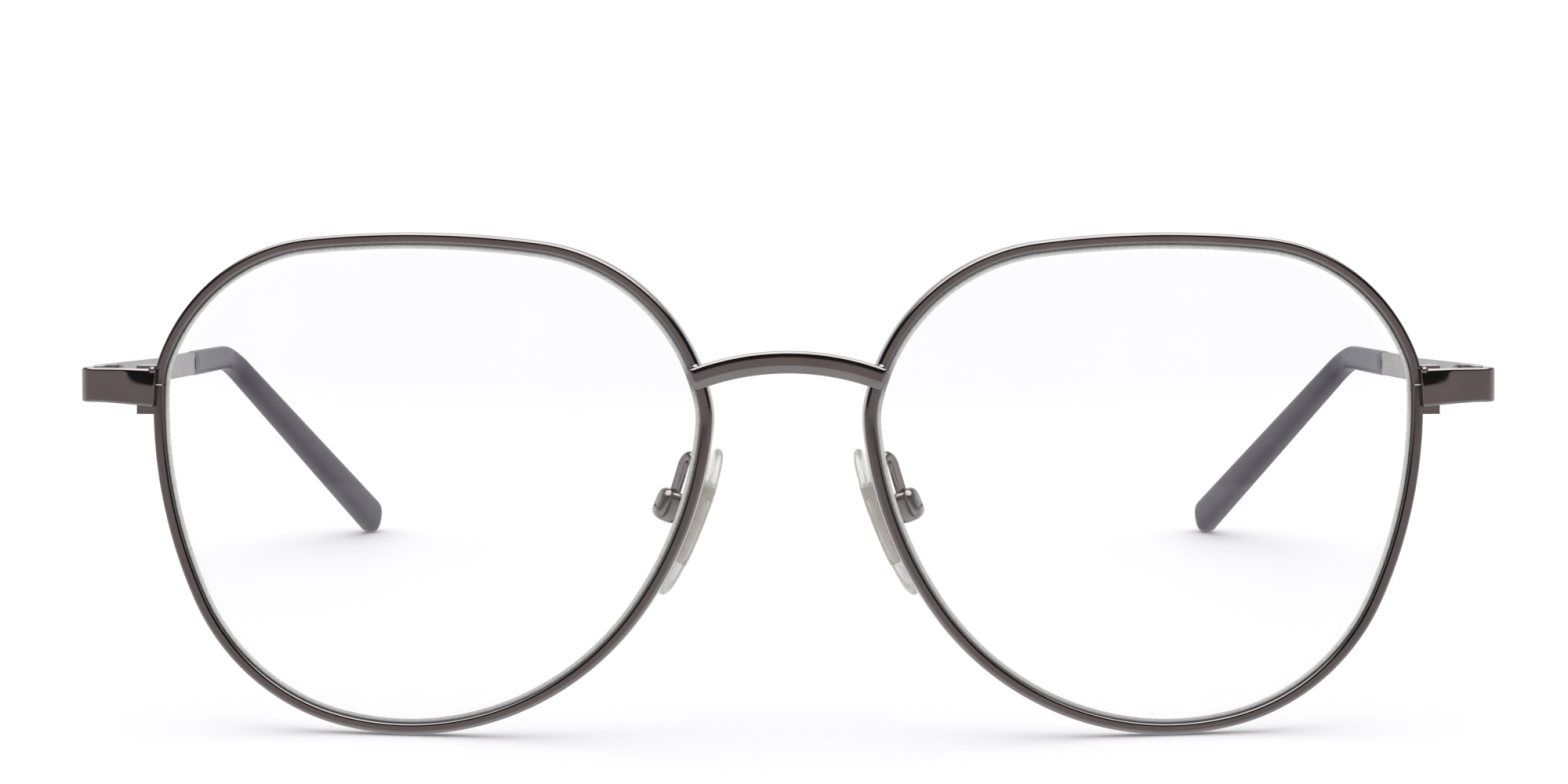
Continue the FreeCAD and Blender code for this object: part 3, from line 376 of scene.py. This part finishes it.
def bumped(tree, shader, value, strength, distance):
    """Relief from a value."""
    relief = add(tree, "ShaderNodeBump", Strength=strength, Distance=distance)
    tree.links.new(value, relief.inputs["Height"])
    tree.links.new(relief.outputs["Normal"], shader.inputs["Normal"])


def plated_metal(name, tone, rough, streak=(1, 1, 1), relief=0.06, change=0.17):
    """Polished plating: slow tone changes, fine polishing lines and tiny pits."""
    made, tree, shader = finish(name)
    shader.inputs["Metallic"].default_value = 1.0
    slow = cloud(tree, 220.0, 4.0)
    low, high = [c * 0.94 for c in tone], [c * 1.06 for c in tone]
    varied(tree, shader, "Base Color", slow, (0.35, low), (0.65, high))
    lines = cloud(tree, 2600.0, 5.0, streak)
    varied(tree, shader, "Roughness", lines, (0.3, rough * (1 - change)), (0.7, rough * (1 + change)))
    bumped(tree, shader, lines, relief, 0.00002)
    return made


def clear_lens():
    """Clear lens resin with a hard coat: hardly any tint, a few faint wipe marks."""
    made, tree, shader = finish("lens_clear")
    shader.inputs["Transmission Weight"].default_value = 1.0
    shader.inputs["IOR"].default_value = 1.5
    marks = cloud(tree, 90.0, 3.0, (1, 1, 0.3))
    varied(tree, shader, "Roughness", marks, (0.4, 0.0), (0.8, 0.02))
    varied(tree, shader, "Base Color", marks, (0.3, (0.985, 0.99, 0.985)), (0.7, (1, 1, 1)))
    return made


def frosted_edge():
    """Ground lens edge: matt, pale grey, with fine grinding lines."""
    made, tree, shader = finish("lens_ground_edge")
    grain = cloud(tree, 3000.0, 4.0, (1, 0.15, 1))
    varied(tree, shader, "Base Color", grain, (0.3, (0.6, 0.6, 0.58)), (0.7, (0.74, 0.74, 0.72)))
    varied(tree, shader, "Roughness", grain, (0.3, 0.45), (0.7, 0.7))
    bumped(tree, shader, grain, 0.2, 0.00002)
    return made


def tip_plastic():
    """Moulded tip: slate with a violet cast, with a painted reflection that makes it paler and greyer
    where the metal enters it, and a paler flow line along it."""
    made, tree, shader = finish("tip_plastic")
    place = add(tree, "ShaderNodeAttribute", attribute_name="along")
    # the first stops are a painted reflection: paler, greyer colour at the tip's mouth, fading into its own
    # slate
    body = ramp(tree, place.outputs["Fac"], [(0.0, (0.1, 0.1, 0.135)), (0.12, (0.05, 0.046, 0.074)),
                                             (0.3, (0.03, 0.023, 0.05)), (1.0, (0.022, 0.016, 0.037))])
    flow = cloud(tree, 420.0, 3.0, (1, 0.12, 1))
    mixed = add(tree, "ShaderNodeMix", data_type="RGBA", blend_type="MIX")
    tree.links.new(ramp(tree, flow, [(0.45, 0.0), (0.75, 0.6)]), mixed.inputs[0])
    tree.links.new(body, mixed.inputs[6])
    mixed.inputs[7].default_value = (0.05, 0.043, 0.065, 1)
    tree.links.new(mixed.outputs[2], shader.inputs["Base Color"])
    fine = cloud(tree, 5000.0, 3.0)
    varied(tree, shader, "Roughness", fine, (0.3, 0.26), (0.7, 0.36))
    shader.inputs["Specular IOR Level"].default_value = 0.2
    bumped(tree, shader, fine, 0.05, 0.00002)
    return made


def pad_silicone():
    """Soft clear silicone, a little cloudy."""
    made, tree, shader = finish("pad_silicone")
    haze = cloud(tree, 500.0, 3.0)
    varied(tree, shader, "Base Color", haze, (0.3, (0.955, 0.96, 0.935)), (0.7, (0.985, 0.985, 0.97)))
    varied(tree, shader, "Roughness", haze, (0.3, 0.08), (0.7, 0.16))
    shader.inputs["Transmission Weight"].default_value = 0.78
    shader.inputs["IOR"].default_value = 1.3
    bumped(tree, shader, haze, 0.1, 0.00005)
    return made


def insert_plastic():
    """Stiff tan plastic inside the pad."""
    made, tree, shader = finish("insert_plastic")
    mottle = cloud(tree, 900.0, 4.0)
    varied(tree, shader, "Base Color", mottle, (0.3, (0.74, 0.65, 0.54)), (0.7, (0.82, 0.75, 0.66)))
    varied(tree, shader, "Roughness", mottle, (0.3, 0.25), (0.7, 0.4))
    shader.inputs["Transmission Weight"].default_value = 0.45
    shader.inputs["IOR"].default_value = 1.45
    return made


GUNMETAL = plated_metal("gunmetal_plate", (0.215, 0.2, 0.198), 0.11)
TEMPLE_METAL = plated_metal("temple_gunmetal", (0.25, 0.237, 0.25), 0.28, (1, 0.3, 1), 0.004, 0.05)
ARM_METAL = plated_metal("arm_wire_metal", (0.21, 0.19, 0.186), 0.1)
HINGE_METAL = plated_metal("hinge_nickel", (0.42, 0.4, 0.38), 0.22)
SCREW_METAL = plated_metal("screw_steel", (0.55, 0.54, 0.52), 0.2)
LENS_CLEAR = clear_lens()
LENS_EDGE = frosted_edge()
TIP_PLASTIC = tip_plastic()
PAD_SILICONE = pad_silicone()
INSERT_PLASTIC = insert_plastic()


# ---------------------------------------------------------------- pieces

def rim_section():
    """Section of the eye wire as (outwards, forwards) pairs: an oblong with well rounded front
    shoulders, less rounded back ones and the lens groove let into its inner wall."""
    inner, outer, front = -BEVEL_DEPTH, RIM_OUTER, RIM_DEPTH / 2
    groove_half, groove_floor = BEVEL_WIDTH / 2 + FIT_GAP, FIT_GAP
    corners = [
        (outer, 0), (outer, front), (inner, front), (inner, groove_half), (groove_floor, groove_half),
        (groove_floor, -groove_half), (inner, -groove_half), (inner, -front), (outer, -front), (outer, 0),
    ]
    radii = (0.36, 0.36, 0.06, 0.06, 0.06, 0.06, 0.25, 0.3)
    return arc_line(corners, radii, 8)[:-1]


def make_rim(side):
    """Eye wire: the section carried round the lens outline. A point is the outline's point moved
    outwards by the section's first number, at the dome's height there plus its second."""
    place, out = outline_from_split(560, SPLIT_GAP)
    outwards, forwards = rim_section().T
    flat = place[:, None] + outwards[None, :, None] * out[:, None]
    height = dome(place[:, 0], place[:, 1])[:, None] + forwards[None]
    rings = put(np.dstack([flat, height]), LENS)
    return make_mesh(f"{SIDES[side]}_rim_wire", rings, side=side, finishes=[GUNMETAL])


def make_lens(side):
    """Lens: rings of the outline shrunk towards the middle, front then back, joined at the edge
    by the ground wall and its bevel. Heights are those of the dome at each ring's depth."""
    place, out = outline_from_split(360, 0)
    body, half, bevel = -BEVEL_DEPTH - FIT_GAP, LENS_THICKNESS / 2, BEVEL_WIDTH / 2
    shrink = np.sin(np.linspace(0.004, math.pi / 2, 40))
    brink = body - GROUND_CHAMFER
    wall = [(body, half - GROUND_CHAMFER), (body, bevel), (0, 0.02), (0, -0.02), (body, -bevel),
            (body, GROUND_CHAMFER - half)]
    scale = np.concatenate([shrink, [1] * len(wall), shrink[::-1]])
    offset = np.concatenate([np.full(40, brink), [w[0] for w in wall], np.full(40, brink)])
    depth = np.concatenate([np.full(40, half), [w[1] for w in wall], np.full(40, -half)])
    flat = (place[None] + offset[:, None, None] * out[None]) * scale[:, None, None]
    height = dome(flat[..., 0], flat[..., 1], depth[:, None])
    ground = (np.arange(len(scale)) >= 39) & (np.arange(len(scale)) < 39 + len(wall) + 1)
    piece = make_mesh(f"{SIDES[side]}_lens_blank", put(np.dstack([flat, height]), LENS), side=side,
                      finishes=[LENS_CLEAR, LENS_EDGE], finish_of=ground)
    piece.visible_shadow = False
    piece.visible_diffuse = False
    return piece


def make_bridge():
    """Bridge: a ridged section carried along an arch of one radius, with its ends drawn in. The
    upper face is upright and leans back near its top, the lower one slopes back under a ridge."""
    reach = NOSE_EDGE[0] + BRIDGE_LAP + 0.15
    half_angle = math.asin(reach / BRIDGE_RADIUS)
    length = 2 * half_angle * BRIDGE_RADIUS
    where = stations(length, 90, 0.35)
    angle = where / BRIDGE_RADIUS - half_angle
    front = NOSE_EDGE[1] - BRIDGE_FRONT
    line = np.stack([
        BRIDGE_RADIUS * np.sin(angle),
        np.full(len(angle), front + BRIDGE_DEPTH / 2),
        BRIDGE_RISE - BRIDGE_RADIUS + BRIDGE_RADIUS * np.cos(angle),
    ], axis=1)
    tall, deep = BRIDGE_HEIGHT / 2, BRIDGE_DEPTH / 2
    corners = [(0, tall), (-deep + 0.055, tall), (-deep, 0.45), (-deep, -0.3), (-deep + 0.28, -tall),
               (deep, -tall), (deep, tall), (0, tall)]
    profile = arc_line(corners, (0.34, 3.0, 0.25, 0.2, 0.25, 0.3), 9)[:-1]
    shrink = 1 - drawn_in(where, length, 0.35)[:, None] / tall
    deeper, taller = (profile[None, :, k] * shrink for k in (0, 1))
    ahead = unit(np.gradient(line, axis=0))
    raised = np.cross(ahead, [0, -1, 0])
    raised *= np.sign(raised[len(raised) // 2, 2])
    rings = line[:, None] + deeper[..., None] * np.array([0, 1, 0]) + taller[..., None] * raised[:, None]
    return make_mesh("bridge_bar", rings, finishes=[GUNMETAL])


def bead(centre, radii, rings=22, around=28):
    """Rings of a drop of braze from pole to pole along Z: an ellipsoid whose lower half spreads
    into a foot, by the square of the depth below its middle."""
    tilt = np.linspace(0.03, math.pi - 0.03, rings)[:, None]
    spin = np.linspace(0, 2 * math.pi, around, endpoint=False)[None]
    reach = np.sin(tilt) * (1 + 0.5 * np.clip(-np.cos(tilt), 0, 1) ** 2)
    ball = np.dstack([reach * np.cos(spin), reach * np.sin(spin), np.cos(tilt) * np.ones_like(spin)])
    return np.array(centre) + ball * np.array(radii)


def make_end_braze(side):
    """Braze bead where the end piece's top meets the rim."""
    spot = put(np.array([TEMPLE_EDGE_U + RIM_OUTER - 0.02, TEMPLE_RISE + 1.5, END_FRONT - 0.55]), LENS)
    return make_mesh(f"{SIDES[side]}_end_braze", bead(spot, (0.4, 0.5, 0.36)), side=side, finishes=[GUNMETAL])


def make_braze(side):
    """Braze bead in the corner between the bridge's top and the rim."""
    x = NOSE_EDGE[0] + 0.35
    z = BRIDGE_RISE - BRIDGE_RADIUS + math.sqrt(BRIDGE_RADIUS ** 2 - x ** 2) + BRIDGE_HEIGHT / 2
    return make_mesh(f"{SIDES[side]}_bridge_braze", bead((x, NOSE_EDGE[1] - 0.35, z), (0.5, 0.6, 0.38)),
                     side=side, finishes=[GUNMETAL])


def make_end_piece(side):
    """End piece: an oblong section carried from the rim round the corner to the hinge. Near the
    rim it grows taller below and the upper part of its face rolls back along a parabola."""
    middle = END_FRONT - END_THICKNESS / 2
    start = put(np.array([TEMPLE_EDGE_U + RIM_OUTER - 0.3, 0, middle]), LENS)
    front_way, back_way = LENS_U, TEMPLE[0][:, 1]
    inside = TEMPLE[1] + TEMPLE_MIDDLE * TEMPLE[0][:, 0]
    steps = np.linalg.solve(np.stack([front_way[:2], -back_way[:2]], axis=1), (inside - start)[:2])
    corner = start + steps[0] * front_way
    start[2] = corner[2] = TEMPLE_RISE
    finish_point = inside - JOINT_GAP / 2 * back_way
    line = arc_line([start, corner, finish_point], [END_BEND - END_THICKNESS / 2], 16)
    length = line_length(line)
    where = stations(length, 90, 0.15)
    line = along(line, where)
    near_rim = np.clip(1 - where / (0.8 * END_REACH), 0, 1) ** 1.3
    line[:, 2] -= 0.25 * near_rim
    shrink = drawn_in(where, length, 0.15)
    half_height = 1.7 + 0.2 * near_rim - shrink
    across, rise = soft_oblong(END_THICKNESS / 2 - shrink, half_height, np.full(len(where), 0.24), 6, 14)
    roll = 0.42 * np.clip(1 - where / (0.42 * END_REACH), 0, 1) ** 0.6
    upper = np.clip((rise / half_height[:, None] + 0.1) / 1.1, 0, 1)
    across = across - roll[:, None] * upper ** 2 * (across > 0)
    return make_mesh(f"{SIDES[side]}_end_strap", carried(line, (across, rise), np.array([0.0, 0, 1])),
                     side=side, finishes=[GUNMETAL])


def make_temple(side):
    """Temple: a flat bar whose height tapers evenly over its front part and then stays."""
    start, stop = JOINT_GAP / 2, TIP_START
    where = stations(stop - start, 120, 0.15)
    reach = start + where
    heights = [TEMPLE_FRONT_HEIGHT, TEMPLE_HEIGHT, TEMPLE_HEIGHT]
    half_height = np.interp(reach, [start, TEMPLE_TAPER, stop], heights) / 2
    shrink = drawn_in(where, stop - start, 0.15)
    line = put(np.stack([np.full(len(reach), TEMPLE_MIDDLE), reach, np.zeros(len(reach))], axis=1), TEMPLE)
    section = soft_oblong(END_THICKNESS / 2 - shrink, half_height - shrink, np.full(len(reach), 0.26), 6)
    rings = carried(line, section, TEMPLE[0][:, 2])
    return make_mesh(f"{SIDES[side]}_temple_bar", rings, side=side, finishes=[TEMPLE_METAL])


def tip_line(count):
    """Middle line of the tip in the temple's frame, with its distances and the bend's place.

    In side view the heading falls evenly through the hook angle over the bend's arc, and the
    line is the heading added up. In plan it turns in towards the head by the hook turn, along a
    parabola over the turn's arc and straight after it.
    """
    drop, swing = math.radians(HOOK_ANGLE), math.radians(HOOK_TURN)
    lead = BEND_REACH - TIP_START
    arc = BEND_RADIUS * drop
    tangent = BEND_RADIUS * math.tan(drop / 2)
    start = JOINT_GAP / 2
    total = lead - tangent + arc + HOOK_LENGTH - tangent - start
    where = np.linspace(0, total, count)
    heading = -drop * np.clip((where - (lead - start - tangent)) / arc, 0, 1)
    step = where[1]
    midway = (heading[:-1] + heading[1:]) / 2
    back = TIP_START + start + np.concatenate([[0], np.cumsum(np.cos(midway)) * step])
    fall = np.concatenate([[0], np.cumsum(np.sin(midway)) * step])
    half_arc = TURN_RADIUS * math.tan(swing / 2)
    past = back - BEND_REACH
    slope = math.tan(swing)
    turning = slope * (past + half_arc) ** 2 / (4 * half_arc)
    inward = np.where(past < -half_arc, 0, np.where(past > half_arc, slope * past, turning))
    return np.stack([TEMPLE_MIDDLE - inward, back, fall], axis=1), where, lead - start


def make_tip(side):
    """Tip: a superellipse section carried along the hooked line, nearly flush with the temple at
    its mouth, growing towards its end and closed by a half round."""
    line, fine, bend = tip_line(900)
    length = fine[-1]
    end = TIP_HEIGHTS[2] / 2
    close = end * (1 - np.cos(np.linspace(0, math.pi / 2, 14)))
    lead_in = np.linspace(0, 3.0, 14)
    where = np.concatenate([lead_in, np.linspace(3.0, length - end, 150)[1:-1], length - close[::-1]])
    line = np.stack([np.interp(where, fine, line[:, k]) for k in range(3)], axis=1)
    span = [0, bend, length]
    height = np.interp(where, span, TIP_HEIGHTS)
    thick = np.interp(where, span, TIP_THICKNESSES)
    mouth = np.clip(1 - where / 2.4, 0, 1) ** 2
    height = height - mouth * (TIP_HEIGHTS[0] - TEMPLE_HEIGHT - 0.08)
    thick = thick - mouth * (TIP_THICKNESSES[0] - END_THICKNESS - 0.12)
    reach = np.clip((where - (length - end)) / end, 0, 0.999)
    closing = np.sqrt(1 - reach ** 2)
    section = oval(thick / 2 * closing, height / 2 * closing, 2.7, 40)
    rings = put(carried(line, section, np.array([0.0, 0, 1])), TEMPLE)
    piece = make_mesh(f"{SIDES[side]}_tip_moulding", rings, side=side, finishes=[TIP_PLASTIC])
    mark = piece.data.attributes.new("along", "FLOAT", "POINT")
    mark.data.foreach_set("value", np.repeat(where / length, rings.shape[1]).astype(np.float32))
    return piece


def make_pad(side):
    """Nose pad: a superellipsoid cushion, the same front and back, its lower end a little wider
    than its upper end."""
    tilt = np.linspace(0.02, math.pi - 0.02, 48)[:, None]
    spin = np.linspace(0, 2 * math.pi, 72, endpoint=False)[None]
    flat = np.sin(tilt) ** 0.55
    deep = np.sign(np.cos(tilt)) * np.abs(np.cos(tilt)) ** 0.9
    c, s = np.cos(spin), np.sin(spin)
    long = PAD_LENGTH / 2 * np.sign(c) * np.abs(c) ** 0.92 * flat
    wide = PAD_WIDTH / 2 * np.sign(s) * np.abs(s) ** 0.92 * flat * (1 - 0.06 * long / (PAD_LENGTH / 2))
    thick = PAD_THICKNESS / 2 * deep * np.ones_like(spin)
    return make_mesh(f"{SIDES[side]}_pad_cushion", put(np.dstack([thick, wide, long]), PAD), side=side,
                     finishes=[PAD_SILICONE])


def make_pad_arm(side):
    """Pad arm: a round wire carried from its foot on the rim, back, up and round into the pad
    box, a little thicker at the foot."""
    rim_foot = put(np.array([edge_across(0, -1), 0, dome(LENS_WIDTH / 2, 0)]), LENS)
    back = rim_foot + np.array(ARM_BACK)
    apex = np.array([back[0] + ARM_APEX_OUT, *ARM_APEX])
    entry, end = put(np.array([ARM_ENTRY, ARM_END]), PAD)
    corners = [rim_foot + [0, ARM_LEAD, 0], back, apex, entry, end]
    line = arc_line(corners, (ARM_BEND, ARM_BEND, ARM_END_BEND), 14)
    where = np.linspace(0, line_length(line), 110)
    swell = ARM_RADIUS + ARM_SWELL * np.clip(1 - where / 0.8, 0, 1) ** 2
    rings = carried(along(line, where), oval(swell, swell, 2, 24), np.array([1.0, 0, 0.02]))
    return make_mesh(f"{SIDES[side]}_arm_wire", rings, side=side, finishes=[ARM_METAL])


def make_pad_box(side):
    """Pad box: a closed superellipsoid block without the slot; the insert's lug runs into it."""
    tilt = np.linspace(0.02, math.pi - 0.02, 40)[:, None]
    spin = np.linspace(0, 2 * math.pi, 56, endpoint=False)[None]

    def rounded(value):
        return np.sign(value) * np.abs(value) ** (2 / BOX_POWER)

    flat = rounded(np.sin(tilt))
    upright = rounded(np.cos(tilt)) * np.ones_like(spin)
    ball = np.dstack([rounded(np.cos(spin)) * flat, rounded(np.sin(spin)) * flat, upright])
    rings = put(np.array(BOX_CENTRE) + ball * np.array(BOX_HALF_SIZES), PAD)
    return make_mesh(f"{SIDES[side]}_pad_box", rings, side=side, finishes=[ARM_METAL])


SIDES = {1: "left", -1: "right"}


def settle(piece, body, slot, *nodes):
    """Put a finished piece on its body and in place of its nodes; the slot is not used."""
    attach(piece, body)
    if nodes:
        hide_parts(*nodes)


def make_pieces():
    """Every visible piece of the spectacles."""
    settle(make_bridge(), "front", "frame_metal", "bridge")
    for side, word in SIDES.items():
        settle(make_rim(side), "front", "frame_metal", f"{word}_rim")
        settle(make_lens(side), "front", "lens", f"{word}_lens")
        settle(make_braze(side), "front", "frame_metal")
        settle(make_end_braze(side), "front", "frame_metal")
        settle(make_end_piece(side), "front", "frame_metal", f"{word}_end_piece")
        settle(make_temple(side), f"{word}_temple", "temple_metal", f"{word}_temple")
        settle(make_tip(side), f"{word}_temple", "temple_tip", f"{word}_temple_tip")
        settle(make_pad_arm(side), "front", "arm_metal", f"{word}_pad_arm")
        settle(make_pad_box(side), "front", "arm_metal")
        settle(make_pad(side), f"{word}_pad", "nose_pad", f"{word}_nose_pad")


def dress_frame():
    """Finishes for the frame's own nodes that stay in view."""
    finishes = {
        "upper_rim_lock": GUNMETAL, "lower_rim_lock": GUNMETAL, "rim_lock_screw": SCREW_METAL,
        "front_hinge_leaf": HINGE_METAL, "temple_hinge_leaf": HINGE_METAL, "hinge_screw": SCREW_METAL,
        "pad_screw": SCREW_METAL, "pad_insert": INSERT_PLASTIC,
    }
    for word in SIDES.values():
        for node, made in finishes.items():
            for slot in frame["nodes"][f"{word}_{node}"].material_slots:
                slot.link = "OBJECT"
                slot.material = made


# ---------------------------------------------------------------- studio

def make_floor():
    """Plain pale table."""
    made, tree, shader = finish("pale_table")
    grain = cloud(tree, 6.0)
    varied(tree, shader, "Base Color", grain, (0.3, (0.9, 0.895, 0.9)), (0.7, (0.91, 0.905, 0.91)))
    shader.inputs["Roughness"].default_value = 0.9
    shader.inputs["Specular IOR Level"].default_value = 0.1
    mesh = bpy.data.meshes.new("table")
    corners = [(x * TABLE_REACH, y * TABLE_REACH, 0) for x, y in ((-1, -1), (1, -1), (1, 1), (-1, 1))]
    mesh.from_pydata(corners, [], [(0, 1, 2, 3)])
    mesh.materials.append(made)
    floor = bpy.data.objects.new("table", mesh)
    bpy.context.scene.collection.objects.link(floor)
    floor.visible_glossy = False


def make_sky():
    """Soft studio surroundings: even light on matt things, and for polished metal a pale table,
    a dim band behind the camera and a bright ceiling."""
    world = bpy.data.worlds.new("studio")
    bpy.context.scene.world = world
    world.use_nodes = True
    world.cycles.sampling_method = "NONE"
    tree = world.node_tree
    where = add(tree, "ShaderNodeTexCoord")
    split = add(tree, "ShaderNodeSeparateXYZ")
    tree.links.new(where.outputs["Generated"], split.inputs["Vector"])

    def spread(value):
        node = add(tree, "ShaderNodeMapRange")
        node.inputs["From Min"].default_value, node.inputs["From Max"].default_value = -1, 1
        tree.links.new(value, node.inputs["Value"])
        return node.outputs["Result"]

    rise = spread(split.outputs["Z"])
    below, level = (0.14, 0.122, 0.12), (0.135, 0.114, 0.112)
    front = ramp(tree, rise, [(0.0, 0.3), (0.35, 0.21), (0.45, below), (0.56, level), (0.585, 0.008),
                              (0.84, 0.008), (0.9, 0.95), (1.0, 1.0)])
    back = ramp(tree, rise, [(0.0, 0.26), (0.5, 0.26), (0.62, 0.2), (0.72, 0.06), (0.8, 0.06),
                             (0.9, 0.95), (1.0, 1.0)])
    behind = ramp(tree, spread(split.outputs["Y"]), [(0.35, 0.0), (0.7, 1.0)])
    seen = add(tree, "ShaderNodeMix", data_type="RGBA")
    tree.links.new(behind, seen.inputs[0])
    tree.links.new(front, seen.inputs[6])
    tree.links.new(back, seen.inputs[7])
    polished = tree.nodes["Background"]
    tree.links.new(seen.outputs[2], polished.inputs["Color"])
    polished.inputs["Strength"].default_value = 3.9
    even = add(tree, "ShaderNodeBackground", Strength=1.02)
    even.inputs["Color"].default_value = (0.99, 0.985, 1, 1)
    wall = add(tree, "ShaderNodeBackground", Strength=1.0)
    rays = add(tree, "ShaderNodeLightPath")
    glossy = add(tree, "ShaderNodeMixShader")
    tree.links.new(rays.outputs["Is Glossy Ray"], glossy.inputs[0])
    tree.links.new(even.outputs[0], glossy.inputs[1])
    tree.links.new(polished.outputs[0], glossy.inputs[2])
    direct = add(tree, "ShaderNodeMixShader")
    tree.links.new(rays.outputs["Is Camera Ray"], direct.inputs[0])
    tree.links.new(glossy.outputs[0], direct.inputs[1])
    tree.links.new(wall.outputs[0], direct.inputs[2])
    tree.links.new(direct.outputs[0], tree.nodes["World Output"].inputs["Surface"])


def make_light(name, place, aim, spread, power):
    """Wide even light falling from a place towards its aim."""
    lamp = bpy.data.lights.new(name, "SUN")
    lamp.angle = math.radians(spread)
    lamp.energy = power
    item = bpy.data.objects.new(name, lamp)
    item.location = place
    way = np.array(aim, float) - np.array(place)
    tilt = math.atan2(math.hypot(way[0], way[1]), -way[2])
    item.rotation_euler = (tilt, 0, math.atan2(way[1], way[0]) - math.pi / 2)
    item.visible_glossy = False
    bpy.context.scene.collection.objects.link(item)


def make_camera():
    """Long lens, a little above the table, square to the front."""
    camera = bpy.data.cameras.new("camera")
    camera.sensor_width = SENSOR_WIDTH
    camera.lens = FOCAL_LENGTH
    camera.shift_x = CAMERA_SHIFT
    item = bpy.data.objects.new("camera", camera)
    item.location = CAMERA_PLACE
    item.rotation_euler = (math.radians(90 - CAMERA_DROP), 0, 0)
    bpy.context.scene.collection.objects.link(item)
    bpy.context.scene.camera = item


make_pieces()
dress_frame()
make_floor()
make_sky()
make_light("ceiling_sun", (0, 0.1, 1), (0, 0, 0), 80, 0.5)
make_camera()
bpy.context.scene.view_settings.view_transform = "Standard"
